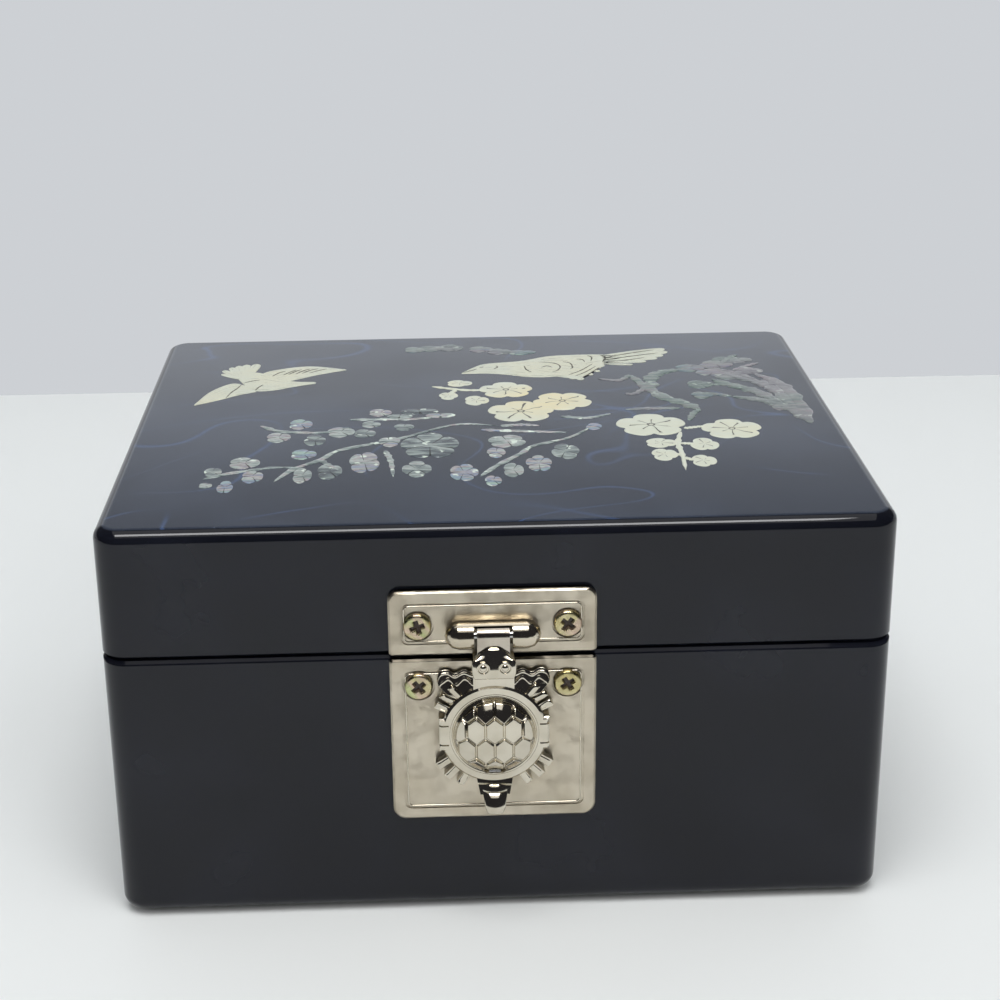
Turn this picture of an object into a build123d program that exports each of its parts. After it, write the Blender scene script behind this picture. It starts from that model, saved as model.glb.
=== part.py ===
"""Lacquered jewellery box with a hinged lid, a turtle hasp and mother-of-pearl inlay.

Millimetres. The origin is the centre of the underside, +Z is up and the front faces -Y.
The clasp is drawn on clasp_plane: across, up from the seam, and outwards from the front.
"""

import os
from math import cos, radians, sin, sqrt, tan

from build123d import *

# Box
box_width = 150.0
box_depth = 127.5
box_height = 81.5
seam_height = 55.8
seam_gap = 0.5
wall = 8.0
top_thickness = 6.0
corner_radius = 5.0
edge_radius = 2.5
rim_bevel = 0.5
overcut = 1.0
hidden_sides = 8

# Floor and the felt under it
felt_thickness = 1.0
felt_inset = 4.0
floor_thickness = 4.0
floor_rebate = 3.0

# Lining, compartments and ring rolls
lining = 1.2
pad_thickness = 2.0
lining_below_rim = 1.0
divider_thickness = 3.0
divider_height = 30.0
ring_bay_width = 42.0
ring_block_height = 20.0
ring_roll_count = 7
ring_roll_gap = 1.2
ring_roll_flat = 1.0
ring_roll_sides = 18
soft_clearance = 0.3

# Mirror inside the lid
mirror_width = 112.0
mirror_depth = 90.0
mirror_thickness = 2.0
backing_thickness = 2.0
mirror_lap = 3.0
mirror_lip = 1.2
mirror_bevel = 0.6

# Hinges at the back, in a V groove whose sides meet when the lid is fully open
lid_opening = 100.0
stop_clearance = 1.0
hinge_setback = 2.2
hinge_inset = 30.0
hinge_length = 24.0
hinge_reach = 5.4
leaf_thickness = 0.9
barrel_radius = 1.6
barrel_clearance = 0.3
knuckle_count = 3
knuckle_gap = 0.15
pin_radius = 0.7
pin_clearance = 0.04

# Clasp plates
clasp_offset = -1.35
plate_width = 39.0
plate_thickness = 1.6
plate_gap = 0.3
upper_plate_height = 13.1
lower_plate_height = 33.9
plate_edge = 0.4
upper_corner_radius = 2.2
lower_corner_radius = 2.6
seam_corner_radius = 0.8
border_inset = 2.3
border_width = 0.45
border_depth = 0.25
border_radius = 1.4

# Clasp screws
clasp_screw_spacing = 28.1
upper_screw_height = 6.4
lower_screw_drop = 5.9
screw_head_radius = 2.75
screw_head_height = 1.5
screw_seat_depth = 0.6
screw_seat_clearance = 0.3
screw_shank_radius = 1.1
screw_length = 7.5
screw_hole_clearance = 0.05
screw_hole_spare = 0.3
recess_size = 2.6
recess_width = 0.75
recess_depth = 1.0
upper_screw_turns = (18.0, 52.0)
lower_screw_turns = (38.0, 33.0)

# Keeper on the upper plate, with the window that the hasp hangs in
keeper_radius = 2.75
keeper_neck = 1.7
keeper_length = 18.1
keeper_height = 5.1
keeper_reach = 3.2
dome_steps = 3
window_width = 7.2
window_clearance = 0.3

# Hasp pivot and strap
pivot_height = 5.4
pivot_reach = 4.2
hasp_pin_radius = 0.9
hasp_pin_length = 12.4
strap_thickness = 0.8
strap_width = 6.1
strap_foot = -1.0

# Turtle
turtle_back = 1.85
shell_drop = 14.9
rim_outer_radius = 10.1
rim_hole_radius = 7.5
rim_front = 5.0
rim_bevel_width = 0.45
lug_width = 20.8
lug_height = 6.8
lug_notch_width = 0.3
lug_notch_length = 1.3
lug_notch_depth = 0.8
lug_notch_inset = 1.4
shell_radius = 8.4
shell_fit = 0.05
shell_seat = 3.8
shell_apex = 8.0
shell_thickness = 1.0
shell_cavity_sides = 12
shell_ring_width = 0.6
plate_inset = 0.9
plate_groove_width = 0.45
plate_groove_depth = 0.25
plate_sag = 0.2
hexagon_pitch = 3.5
hexagon_row_pitch = 4.2
hexagon_slant = 1.4
hexagon_rows = ((1.5, 4), (0.5, 5), (-0.5, 4), (-1.5, 3))
neck_width = 7.7
neck_front = 4.6
neck_top = 1.0
neck_foot = -6.5
head_width = 8.2
head_front = 7.4
head_bottom = -1.85
head_brow = 1.35
head_temple_front = 6.85
head_temple_height = 2.7
head_snout_front = 5.4
head_top = 3.7
head_round = 0.8
head_cheek = 0.6
head_curve = 5.6
jaw_radius = 1.2
snout_radius = 1.2
strap_slot_play = 0.1
eye_spacing = 4.0
eye_height = 0.1
eye_radius = 1.1
eye_ball_radius = 0.75
eye_rim = 0.3
rivet_radius = 0.5

# Legs: the right arm's outline in shares of its reach, across and up from the seam,
# and the toes by their turn about the rim and how far their tips stand out in shares of its radius
arm_reach = 10.6
arm_outline = (
    (0.32, -0.60),
    (0.40, -0.27),
    (0.53, -0.23),
    (0.68, -0.29),
    (0.83, -0.23),
    (0.97, -0.27),
    (1.00, -0.46),
    (0.79, -0.65),
    (0.47, -0.79),
)
arm_top = -2.0
arm_top_front = 2.2
arm_shoulder = -5.0
arm_front = 3.5
arm_foot = -9.0
toe_spokes = ((50, 1.25), (39.5, 1.26), (29, 1.23), (-33, 1.27), (-46, 1.29), (-59, 1.27))
toe_overlap = 1.0
toe_root_width = 1.3
toe_tip_width = 1.5
toe_thickness = 2.0

# Tail: how far each corner stands out from the box's front
tail_root_width = 7.0
tail_step_width = 5.6
tail_waist_width = 4.4
tail_tip_width = 2.8
tail_length = 5.9
tail_overlap = 1.2
tail_step_share = 0.42
tail_ledge = 0.1
tail_root_front = 4.45
tail_step_front = 6.25
tail_waist_front = 5.75
tail_tip_front = 7.4
tail_crown = 0.25
tail_tip_thickness = 1.1
tail_hollow_front = 4.85
tail_hollow_drop = 0.7
tail_under = 0.8

# Sprung catch between the lower plate and the shell
spring_thickness = 0.35
spring_width = 4.0
nib_width = 2.2
nib_radius = 0.3
nib_reach = 3.9
nib_tip = 5.6
catch_rivet_radius = 1.3
catch_rivet_height = 0.8
catch_rivet_drop = 13.7
spring_tail = 2.0
catch_window_width = 3.8
catch_window_height = 1.5
catch_drop = 22.1

# Inlay on the lid, drawn in hundredths of the lid's width and depth from its middle
inlay_thickness = 0.3
branch_width = 1.1
inlay_unit_x = box_width / 100
inlay_unit_y = box_depth / 100
petal_count = 5
petal_dip = 0.32
petal_corners = 4
leaf_corners = 8
leaf_slimness = 0.32

# Places worked out from the sizes above
front_y = -box_depth / 2
back_y = box_depth / 2
inside_width = box_width - 2 * wall
inside_depth = box_depth - 2 * wall
floor_width = inside_width + 2 * floor_rebate
floor_depth = inside_depth + 2 * floor_rebate
base_rim = seam_height - seam_gap / 2
lid_rim = seam_height + seam_gap / 2
floor_top = felt_thickness + floor_thickness
pad_top = floor_top + pad_thickness
lid_ceiling = box_height - top_thickness
lined_width = inside_width - 2 * lining
lined_depth = inside_depth - 2 * lining
ring_roll_pitch = lined_depth / ring_roll_count
ring_roll_radius = (ring_roll_pitch - ring_roll_gap) / 2
hinge_place = box_width / 2 - hinge_inset
pin_y = back_y - hinge_setback
groove_angle = (lid_opening + stop_clearance) / 2
clasp_plane = Plane(origin=(clasp_offset, front_y, seam_height), x_dir=(1, 0, 0), z_dir=(0, -1, 0))
upper_plate_foot = seam_gap / 2
upper_plate_top = upper_plate_foot + upper_plate_height
lower_plate_top = -seam_gap / 2 - plate_gap
lower_plate_foot = lower_plate_top - lower_plate_height
knuckle_radius = hasp_pin_radius + pin_clearance + strap_thickness

os.makedirs("parts", exist_ok=True)
finished = []


def keep(piece, label):
    """Labels a finished piece and writes its file."""
    piece.label = label
    export_step(piece, f"parts/{label}.step")
    finished.append(label)
    return piece


def block(width, depth, low, high, radius=0.0):
    """A block centred on the Z axis, its upright edges rounded where a radius is given."""
    with BuildPart() as solid:
        with BuildSketch(Plane.XY.offset(low)) as outline:
            Rectangle(width, depth)
            if radius:
                fillet(outline.vertices(), radius)
        extrude(amount=high - low)
    return solid.part


def side_plane(width):
    """The plane of an outline drawn outwards and up, that is extruded by this width across the clasp."""
    return Plane(origin=(clasp_offset + width / 2, front_y, seam_height), x_dir=(0, -1, 0), z_dir=(-1, 0, 0))


def groove_cutter():
    """The V along the back edge that both halves share, with its apex on the hinge pins."""
    run = hinge_setback + overcut
    rise = run * tan(radians(groove_angle))
    with BuildPart() as cutter:
        with BuildSketch(Plane.YZ.offset(-box_width / 2 - overcut)):
            with BuildLine():
                Polyline(
                    (pin_y, seam_height),
                    (pin_y + run, seam_height + rise),
                    (pin_y + run, seam_height - rise),
                    close=True,
                )
            make_face()
        extrude(amount=box_width + 2 * overcut)
    return cutter.part


def hinge_cutter(side):
    """Pockets for the barrels and leaves: side is 1 in the lid and -1 in the base."""
    rim = seam_height + side * seam_gap / 2
    leaf_plane = Plane.XY.offset(min(rim, rim + side * leaf_thickness))
    with BuildPart() as cutter:
        with BuildSketch(Plane.YZ.offset(-hinge_length / 2 - barrel_clearance)):
            with Locations((pin_y, seam_height)):
                Circle(barrel_radius + barrel_clearance)
        extrude(amount=hinge_length + 2 * barrel_clearance)
        with BuildSketch(leaf_plane):
            with Locations((0, pin_y - hinge_reach / 2)):
                Rectangle(hinge_length, hinge_reach)
        extrude(amount=leaf_thickness)
    return cutter.part


def clasp_screw_places(height):
    """Where a pair of clasp screws stands, on the clasp plane."""
    return [(-clasp_screw_spacing / 2, height), (clasp_screw_spacing / 2, height)]


def clasp_screw_holes(height):
    """Pilot holes for a pair of clasp screws, drilled into the box."""
    depth = screw_length - plate_thickness + screw_seat_depth + screw_hole_spare
    with BuildPart() as holes:
        with BuildSketch(clasp_plane):
            with Locations(*clasp_screw_places(height)):
                RegularPolygon(screw_shank_radius + screw_hole_clearance, hidden_sides, major_radius=False)
        extrude(amount=-depth)
    return holes.part


# The two lacquered halves
with BuildPart() as base_walls:
    add(block(box_width, box_depth, felt_thickness, base_rim, corner_radius))
    fillet(base_walls.faces().sort_by(Axis.Z)[0].edges(), edge_radius)
    chamfer(base_walls.faces().sort_by(Axis.Z)[-1].edges(), rim_bevel)
    add(block(inside_width, inside_depth, 0, base_rim + overcut), mode=Mode.SUBTRACT)
    add(block(floor_width, floor_depth, 0, floor_top), mode=Mode.SUBTRACT)
    add(groove_cutter(), mode=Mode.SUBTRACT)
    with Locations((-hinge_place, 0, 0), (hinge_place, 0, 0)):
        add(hinge_cutter(-1), mode=Mode.SUBTRACT)
    add(clasp_screw_holes(-lower_screw_drop), mode=Mode.SUBTRACT)
keep(base_walls.part, "base_walls")

with BuildPart() as lid_shell:
    add(block(box_width, box_depth, lid_rim, box_height, corner_radius))
    fillet(lid_shell.faces().sort_by(Axis.Z)[-1].edges(), edge_radius)
    chamfer(lid_shell.faces().sort_by(Axis.Z)[0].edges(), rim_bevel)
    add(block(inside_width, inside_depth, lid_rim - overcut, lid_ceiling), mode=Mode.SUBTRACT)
    add(groove_cutter(), mode=Mode.SUBTRACT)
    with Locations((-hinge_place, 0, 0), (hinge_place, 0, 0)):
        add(hinge_cutter(1), mode=Mode.SUBTRACT)
    add(clasp_screw_holes(upper_screw_height), mode=Mode.SUBTRACT)
keep(lid_shell.part, "lid_shell")

keep(block(floor_width, floor_depth, felt_thickness, floor_top), "base_floor")
felt_width = box_width - 2 * felt_inset
felt_depth = box_depth - 2 * felt_inset
keep(block(felt_width, felt_depth, 0, felt_thickness), "base_felt")


# Lining boards, floor pad and compartments
def lining_boards(prefix, low, high):
    """Four boards against the inside of a half, the long ones between the short ones."""
    side = (inside_width - lining) / 2
    end = (inside_depth - lining) / 2
    for name, x in (("left", -side), ("right", side)):
        keep(Pos(x, 0, 0) * block(lining, inside_depth, low, high), f"{prefix}_lining_{name}")
    for name, y in (("front", -end), ("back", end)):
        keep(Pos(0, y, 0) * block(lined_width, lining, low, high), f"{prefix}_lining_{name}")


keep(block(inside_width, inside_depth, floor_top, pad_top), "floor_pad")
lining_boards("base", pad_top, base_rim - lining_below_rim)

ring_bay_right = lined_width / 2
ring_bay_left = ring_bay_right - ring_bay_width
main_bay_left = -lined_width / 2
main_bay_right = ring_bay_left - divider_thickness
main_bay_width = main_bay_right - main_bay_left
divider_top = pad_top + divider_height
ring_block_top = pad_top + ring_block_height
ring_bay_middle = (ring_bay_left + ring_bay_right) / 2

long_divider = block(divider_thickness, lined_depth, pad_top, divider_top)
keep(Pos((ring_bay_left + main_bay_right) / 2, 0, 0) * long_divider, "long_divider")
cross_divider = block(main_bay_width, divider_thickness, pad_top, divider_top)
keep(Pos((main_bay_left + main_bay_right) / 2, 0, 0) * cross_divider, "cross_divider")
ring_block = block(ring_bay_width, lined_depth, pad_top, ring_block_top)
keep(Pos(ring_bay_middle, 0, 0) * ring_block, "ring_block")


def ring_roll(y):
    """One stuffed roll lying across the ring bay, flat where it is glued to the block."""
    axis_height = ring_block_top + ring_roll_radius - ring_roll_flat
    length = ring_bay_width - 2 * soft_clearance
    with BuildPart() as roll:
        with BuildSketch(Plane.YZ.offset(ring_bay_middle)):
            with Locations((y, axis_height)):
                RegularPolygon(ring_roll_radius, ring_roll_sides)
            with Locations((y, ring_block_top - ring_roll_radius / 2)):
                Rectangle(ring_roll_pitch, ring_roll_radius, mode=Mode.SUBTRACT)
        extrude(amount=length / 2, both=True)
    return roll.part


for number in range(ring_roll_count):
    place = (number - (ring_roll_count - 1) / 2) * ring_roll_pitch
    keep(ring_roll(place), f"ring_roll_{number + 1}")

# Inside the lid
lining_boards("lid", lid_rim + lining_below_rim, lid_ceiling)

backing_bottom = lid_ceiling - backing_thickness
mirror_bottom = backing_bottom - mirror_thickness
frame_bottom = mirror_bottom - mirror_lip

keep(block(lined_width, lined_depth, backing_bottom, lid_ceiling), "mirror_backing")
keep(block(mirror_width, mirror_depth, mirror_bottom, backing_bottom), "mirror_glass")

opening_width = mirror_width - 2 * mirror_lap
opening_depth = mirror_depth - 2 * mirror_lap
with BuildPart() as mirror_frame:
    add(block(lined_width, lined_depth, frame_bottom, backing_bottom))
    add(block(opening_width, opening_depth, frame_bottom, backing_bottom), mode=Mode.SUBTRACT)
    chamfer(mirror_frame.faces().sort_by(Axis.Z)[0].inner_wires()[0].edges(), mirror_bevel)
    add(block(mirror_width, mirror_depth, mirror_bottom, backing_bottom), mode=Mode.SUBTRACT)
keep(mirror_frame.part, "mirror_frame")


# Hinges
def knuckle_spans(own):
    """Start and end of each knuckle along a hinge: own 0 picks the base's and 1 the lid's."""
    step = hinge_length / knuckle_count
    starts = [i * step - hinge_length / 2 for i in range(own, knuckle_count, 2)]
    return [(start + knuckle_gap / 2, start + step - knuckle_gap / 2) for start in starts]


def hinge_leaf(side):
    """A leaf let into a rim, with its knuckles rolled round the pin; side is 1 in the lid."""
    rim = seam_height + side * seam_gap / 2
    low = min(rim, rim + side * leaf_thickness)
    own = 1 if side > 0 else 0
    clear = barrel_radius + barrel_clearance
    with BuildPart() as leaf:
        with BuildSketch(Plane.XY.offset(low)):
            with Locations((0, pin_y - clear)):
                Rectangle(hinge_length, hinge_reach - clear, align=(Align.CENTER, Align.MAX))
        extrude(amount=leaf_thickness)
        for start, end in knuckle_spans(own):
            with BuildSketch(Plane.XY.offset(low)):
                with Locations(((start + end) / 2, pin_y)):
                    Rectangle(end - start, clear + leaf_thickness, align=(Align.CENTER, Align.MAX))
            extrude(amount=leaf_thickness)
            with BuildSketch(Plane.YZ.offset(start)):
                with Locations((pin_y, seam_height)):
                    Circle(barrel_radius)
            extrude(amount=end - start)
        with BuildSketch(Plane.YZ.offset(-hinge_length / 2)):
            with Locations((pin_y, seam_height)):
                Circle(pin_radius + pin_clearance)
        extrude(amount=hinge_length, mode=Mode.SUBTRACT)
    return leaf.part


for name, x in (("left", -hinge_place), ("right", hinge_place)):
    keep(Pos(x, 0, 0) * hinge_leaf(-1), f"hinge_leaf_base_{name}")
    keep(Pos(x, 0, 0) * hinge_leaf(1), f"hinge_leaf_lid_{name}")
    with BuildPart() as hinge_pin:
        with BuildSketch(Plane.YZ.offset(x - hinge_length / 2)):
            with Locations((pin_y, seam_height)):
                Circle(pin_radius)
        extrude(amount=hinge_length)
    keep(hinge_pin.part, f"hinge_pin_{name}")


# Clasp plates
def clasp_plate(foot, top, foot_radius, top_radius, screw_height):
    """A cast plate with a rounded outline, an engraved border and two screw seats."""
    middle = (foot + top) / 2
    wide = plate_width - 2 * border_inset
    tall = top - foot - 2 * border_inset
    with BuildPart() as plate:
        with BuildSketch(clasp_plane) as outline:
            with Locations((0, middle)):
                Rectangle(plate_width, top - foot)
            fillet(outline.vertices().group_by(Axis.Y)[0], foot_radius)
            fillet(outline.vertices().group_by(Axis.Y)[-1], top_radius)
        extrude(amount=plate_thickness)
        chamfer(plate.faces().sort_by(Axis.Y)[0].edges(), plate_edge)
        with BuildSketch(clasp_plane.offset(plate_thickness)):
            with Locations((0, middle)):
                RectangleRounded(wide, tall, border_radius)
                inner_radius = border_radius - border_width
                RectangleRounded(
                    wide - 2 * border_width, tall - 2 * border_width, inner_radius, mode=Mode.SUBTRACT
                )
        extrude(amount=-border_depth, mode=Mode.SUBTRACT)
        with BuildSketch(clasp_plane.offset(plate_thickness)):
            with Locations(*clasp_screw_places(screw_height)):
                Circle(screw_head_radius + screw_seat_clearance)
        extrude(amount=-screw_seat_depth, mode=Mode.SUBTRACT)
        with BuildSketch(clasp_plane):
            with Locations(*clasp_screw_places(screw_height)):
                RegularPolygon(screw_shank_radius + screw_hole_clearance, hidden_sides, major_radius=False)
        extrude(amount=plate_thickness, mode=Mode.SUBTRACT)
    return plate.part


def dome_corners(radius):
    """Corners along a quarter round from its rim to its pole."""
    steps = [radians(90 * i / dome_steps) for i in range(dome_steps + 1)]
    return [(radius * sin(a), radius * cos(a)) for a in steps]


with BuildPart() as clasp_upper_plate:
    add(
        clasp_plate(
            upper_plate_foot, upper_plate_top, seam_corner_radius, upper_corner_radius, upper_screw_height
        )
    )
    with BuildSketch(clasp_plane.offset(plate_thickness)):
        with Locations((0, keeper_height)):
            SlotOverall(keeper_length - 2 * (keeper_radius - keeper_neck), 2 * keeper_neck)
    extrude(amount=keeper_reach - plate_thickness)
    straight = keeper_length - 2 * keeper_radius
    with BuildSketch(Plane.YZ.offset(clasp_offset - straight / 2)):
        with Locations((front_y - keeper_reach, seam_height + keeper_height)):
            Circle(keeper_radius)
    extrude(amount=straight)
    for side in (-1, 1):
        end = (clasp_offset + side * straight / 2, front_y - keeper_reach, seam_height + keeper_height)
        with BuildSketch(Plane(origin=end, x_dir=(side, 0, 0), z_dir=(0, -side, 0))):
            Polygon((0, 0), *dome_corners(keeper_radius), align=None)
        revolve(axis=Axis(end, (1, 0, 0)))
    window_top = pivot_height + knuckle_radius + window_clearance
    window_back = pivot_reach - knuckle_radius - window_clearance
    with BuildSketch(clasp_plane.offset(window_back)):
        with Locations((0, window_top)):
            Rectangle(window_width, 2 * keeper_radius + overcut, align=(Align.CENTER, Align.MAX))
    extrude(amount=keeper_radius + keeper_reach, mode=Mode.SUBTRACT)
    with BuildSketch(Plane.YZ.offset(clasp_offset - hasp_pin_length / 2)):
        with Locations((front_y - pivot_reach, seam_height + pivot_height)):
            Circle(hasp_pin_radius)
    extrude(amount=hasp_pin_length, mode=Mode.SUBTRACT)
keep(clasp_upper_plate.part, "clasp_upper_plate")

with BuildPart() as clasp_lower_plate:
    add(
        clasp_plate(
            lower_plate_foot, lower_plate_top, lower_corner_radius, seam_corner_radius, -lower_screw_drop
        )
    )
keep(clasp_lower_plate.part, "clasp_lower_plate")


def clasp_screw():
    """A flat-topped cross-recess screw with its seat at the origin, pointing down."""
    with BuildPart() as screw:
        with BuildSketch():
            Circle(screw_head_radius)
        extrude(amount=screw_head_height)
        with BuildSketch():
            RegularPolygon(screw_shank_radius, hidden_sides)
        extrude(amount=-screw_length)
        with BuildSketch(Plane.XY.offset(screw_head_height)):
            Rectangle(recess_size, recess_width)
            Rectangle(recess_width, recess_size)
        extrude(amount=-recess_depth, mode=Mode.SUBTRACT)
    return screw.part


def clasp_screw_pair(height, turns):
    """A pair of clasp screws in a plate, each turned to its own stop."""
    seat = clasp_plane.offset(plate_thickness - screw_seat_depth)
    screws = []
    for (x, z), turn in zip(clasp_screw_places(height), turns):
        screws.append(seat.location * Pos(x, z, 0) * Rot(0, 0, turn) * clasp_screw())
    return Compound(children=screws)


keep(clasp_screw_pair(upper_screw_height, upper_screw_turns), "clasp_screws_upper")
keep(clasp_screw_pair(-lower_screw_drop, lower_screw_turns), "clasp_screws_lower")

# Hasp pin and strap
with BuildPart() as hasp_pin:
    with BuildSketch(Plane.YZ.offset(clasp_offset - hasp_pin_length / 2)):
        with Locations((front_y - pivot_reach, seam_height + pivot_height)):
            Circle(hasp_pin_radius)
    extrude(amount=hasp_pin_length)
keep(hasp_pin.part, "hasp_pin")

strap_back = pivot_reach + knuckle_radius - strap_thickness
strap_front = pivot_reach + knuckle_radius
with BuildPart() as hasp_strap:
    with BuildSketch(side_plane(strap_width)):
        with Locations((pivot_reach, pivot_height)):
            Circle(knuckle_radius)
        with Locations((strap_back, pivot_height)):
            Rectangle(strap_thickness, pivot_height - strap_foot, align=(Align.MIN, Align.MAX))
        with Locations((pivot_reach, pivot_height)):
            Circle(hasp_pin_radius + pin_clearance, mode=Mode.SUBTRACT)
    extrude(amount=strap_width)
    with BuildSketch(clasp_plane.offset(strap_back)):
        with Locations((-eye_spacing / 2, eye_height), (eye_spacing / 2, eye_height)):
            RegularPolygon(rivet_radius, hidden_sides)
    extrude(amount=strap_thickness, mode=Mode.SUBTRACT)
keep(hasp_strap.part, "hasp_strap")


# Turtle casting
def arms():
    """The two upper arms with wavy tops, whose fronts slope upwards from the plate."""
    with BuildPart() as pair:
        with BuildSketch(clasp_plane.offset(turtle_back)):
            for side in (-1, 1):
                corners = [(side * x * arm_reach, z * arm_reach) for x, z in arm_outline]
                Polygon(*corners, align=None)
        extrude(amount=arm_front)
        with BuildSketch(side_plane(lug_width)):
            Polygon(
                (0, arm_top),
                (arm_top_front, arm_top),
                (arm_front, arm_shoulder),
                (arm_front, arm_foot),
                (0, arm_foot),
                align=None,
            )
        extrude(amount=lug_width, mode=Mode.INTERSECT)
    return pair.part


def toes():
    """Toes that stand out from the rim like spokes, three for each leg."""
    root = rim_outer_radius - toe_overlap
    with BuildPart() as spokes:
        with BuildSketch(clasp_plane.offset(turtle_back)):
            for angle, share in toe_spokes:
                tip = share * rim_outer_radius
                for turn in (angle, 180 - angle):
                    with Locations(Location((0, -shell_drop, 0), (0, 0, turn))):
                        Polygon(
                            (root, -toe_root_width / 2),
                            (tip, -toe_tip_width / 2),
                            (tip, toe_tip_width / 2),
                            (root, toe_root_width / 2),
                            align=None,
                        )
        extrude(amount=toe_thickness)
    return spokes.part


def tail():
    """A thumb piece in two crowned steps that lifts away from the plate, hollow behind."""
    foot = -shell_drop - rim_outer_radius
    root = foot + tail_overlap
    step = foot - tail_step_share * tail_length
    waist = step - tail_ledge
    tip = foot - tail_length
    upper = ((tail_root_front + tail_step_front) / 2 + tail_crown, (root + step) / 2)
    lower = ((tail_waist_front + tail_tip_front) / 2 + tail_crown, (waist + tip) / 2)
    widths = (tail_root_width, tail_step_width, tail_waist_width, tail_tip_width)
    heights = (root, step, waist, tip)
    with BuildPart() as piece:
        with BuildSketch(side_plane(tail_root_width)):
            with BuildLine():
                Line((turtle_back, root), (tail_root_front, root))
                ThreePointArc((tail_root_front, root), upper, (tail_step_front, step))
                Line((tail_step_front, step), (tail_waist_front, waist))
                ThreePointArc((tail_waist_front, waist), lower, (tail_tip_front, tip))
                Line((tail_tip_front, tip), (tail_tip_front - tail_tip_thickness, tip))
                ThreePointArc(
                    (tail_tip_front - tail_tip_thickness, tip),
                    (tail_hollow_front, step - tail_hollow_drop),
                    (turtle_back, step + tail_under),
                )
                Line((turtle_back, step + tail_under), (turtle_back, root))
            make_face()
        extrude(amount=tail_root_width)
        with BuildSketch(clasp_plane):
            right_side = [(width / 2, height) for width, height in zip(widths, heights)]
            left_side = [(-across, height) for across, height in reversed(right_side)]
            Polygon(*right_side, *left_side, align=None)
        extrude(amount=shell_apex, mode=Mode.INTERSECT)
    return piece.part


def turtle_head():
    """The head with its snout up: flat behind, level across the eyes and sloping back to the snout."""
    with BuildPart() as head:
        with BuildSketch(clasp_plane.offset(neck_front)) as head_sketch:
            with BuildLine():
                Polyline(
                    (-head_width / 2, head_cheek),
                    (-head_width / 2, head_bottom),
                    (head_width / 2, head_bottom),
                    (head_width / 2, head_cheek),
                )
                RadiusArc((head_width / 2, head_cheek), (0, head_top), -head_curve)
                RadiusArc((0, head_top), (-head_width / 2, head_cheek), -head_curve)
            make_face()
            fillet(head_sketch.vertices().group_by(Axis.Y)[0], jaw_radius)
            fillet(head_sketch.vertices().group_by(Axis.Y)[-1], snout_radius)
        extrude(amount=head_front - neck_front)
        chamfer(head.faces().sort_by(Axis.Y)[0].edges(), head_round)
        with BuildSketch(side_plane(head_width + overcut)):
            with BuildLine():
                temple = (head_temple_front, head_temple_height)
                ThreePointArc((head_front, head_brow), temple, (head_snout_front, head_top))
                Polyline(
                    (head_snout_front, head_top),
                    (head_snout_front, head_top + overcut),
                    (head_front + overcut, head_top + overcut),
                    (head_front + overcut, head_brow),
                    (head_front, head_brow),
                )
            make_face()
        extrude(amount=head_width + overcut, mode=Mode.SUBTRACT)
    return head.part


with BuildPart() as turtle_body:
    with BuildSketch(clasp_plane.offset(turtle_back)):
        with Locations((0, -shell_drop)):
            Circle(rim_outer_radius)
            Rectangle(lug_width, lug_height)
    extrude(amount=rim_front - turtle_back)
    chamfer(turtle_body.faces().sort_by(Axis.Y)[0].edges(), rim_bevel_width)
    add(arms())
    add(toes())
    with BuildSketch(clasp_plane.offset(turtle_back)):
        with Locations((0, neck_top)):
            Rectangle(neck_width, neck_top - neck_foot, align=(Align.CENTER, Align.MAX))
    extrude(amount=neck_front - turtle_back)
    add(turtle_head())
    add(tail())
    with BuildSketch(clasp_plane):
        with Locations((0, -shell_drop)):
            Circle(rim_hole_radius)
    extrude(amount=rim_front, mode=Mode.SUBTRACT)
    with BuildSketch(clasp_plane.offset(shell_seat)):
        with Locations((0, -shell_drop)):
            Circle(shell_radius + shell_fit)
    extrude(amount=rim_front, mode=Mode.SUBTRACT)
    with BuildSketch(clasp_plane.offset(strap_back - pin_clearance)):
        with Locations((0, strap_foot)):
            Rectangle(strap_width + 2 * strap_slot_play, head_width, align=(Align.CENTER, Align.MIN))
    extrude(amount=strap_thickness + 2 * pin_clearance, mode=Mode.SUBTRACT)
    with BuildSketch(clasp_plane):
        with Locations((0, neck_top)):
            Rectangle(head_width + overcut, head_width, align=(Align.CENTER, Align.MIN))
    extrude(amount=strap_back, mode=Mode.SUBTRACT)
    with BuildSketch(clasp_plane):
        with Locations((-eye_spacing / 2, eye_height), (eye_spacing / 2, eye_height)):
            RegularPolygon(rivet_radius, hidden_sides)
    extrude(amount=head_front, mode=Mode.SUBTRACT)
    notch_x = (lug_width - lug_notch_length) / 2
    notch_z = lug_height / 2 - lug_notch_inset
    with BuildSketch(clasp_plane.offset(rim_front)):
        for up in (-shell_drop - notch_z, -shell_drop + notch_z):
            with Locations((-notch_x, up), (notch_x, up)):
                Rectangle(lug_notch_length + overcut, lug_notch_width)
    extrude(amount=-lug_notch_depth, mode=Mode.SUBTRACT)
keep(turtle_body.part, "turtle_body")

# Turtle shell, a ringed cap with raised hexagonal plates
cap_rise = shell_apex - rim_front
cap_curve = (shell_radius**2 + cap_rise**2) / (2 * cap_rise)
cap_centre = shell_apex - cap_curve
shell_place = (clasp_offset, front_y - cap_centre, seam_height - shell_drop)


def hexagon_centres(more=0):
    """Centres of the shell's plates in rows, each row as long as it is or longer by some at each end."""
    for row, count in hexagon_rows:
        for i in range(-more, count + more):
            yield (i - (count - 1) / 2) * hexagon_pitch, row * hexagon_row_pitch


def plate_plane(x, z):
    """The flat that a hexagonal plate's face lies in, square to the dome at its middle."""
    rise = sqrt(cap_curve**2 - x**2 - z**2)
    across = Vector(x, -rise, z).normalized()
    middle = Vector(*shell_place) + across * (cap_curve - plate_sag)
    return Plane(origin=middle, x_dir=(rise, x, 0), z_dir=across)


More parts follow.
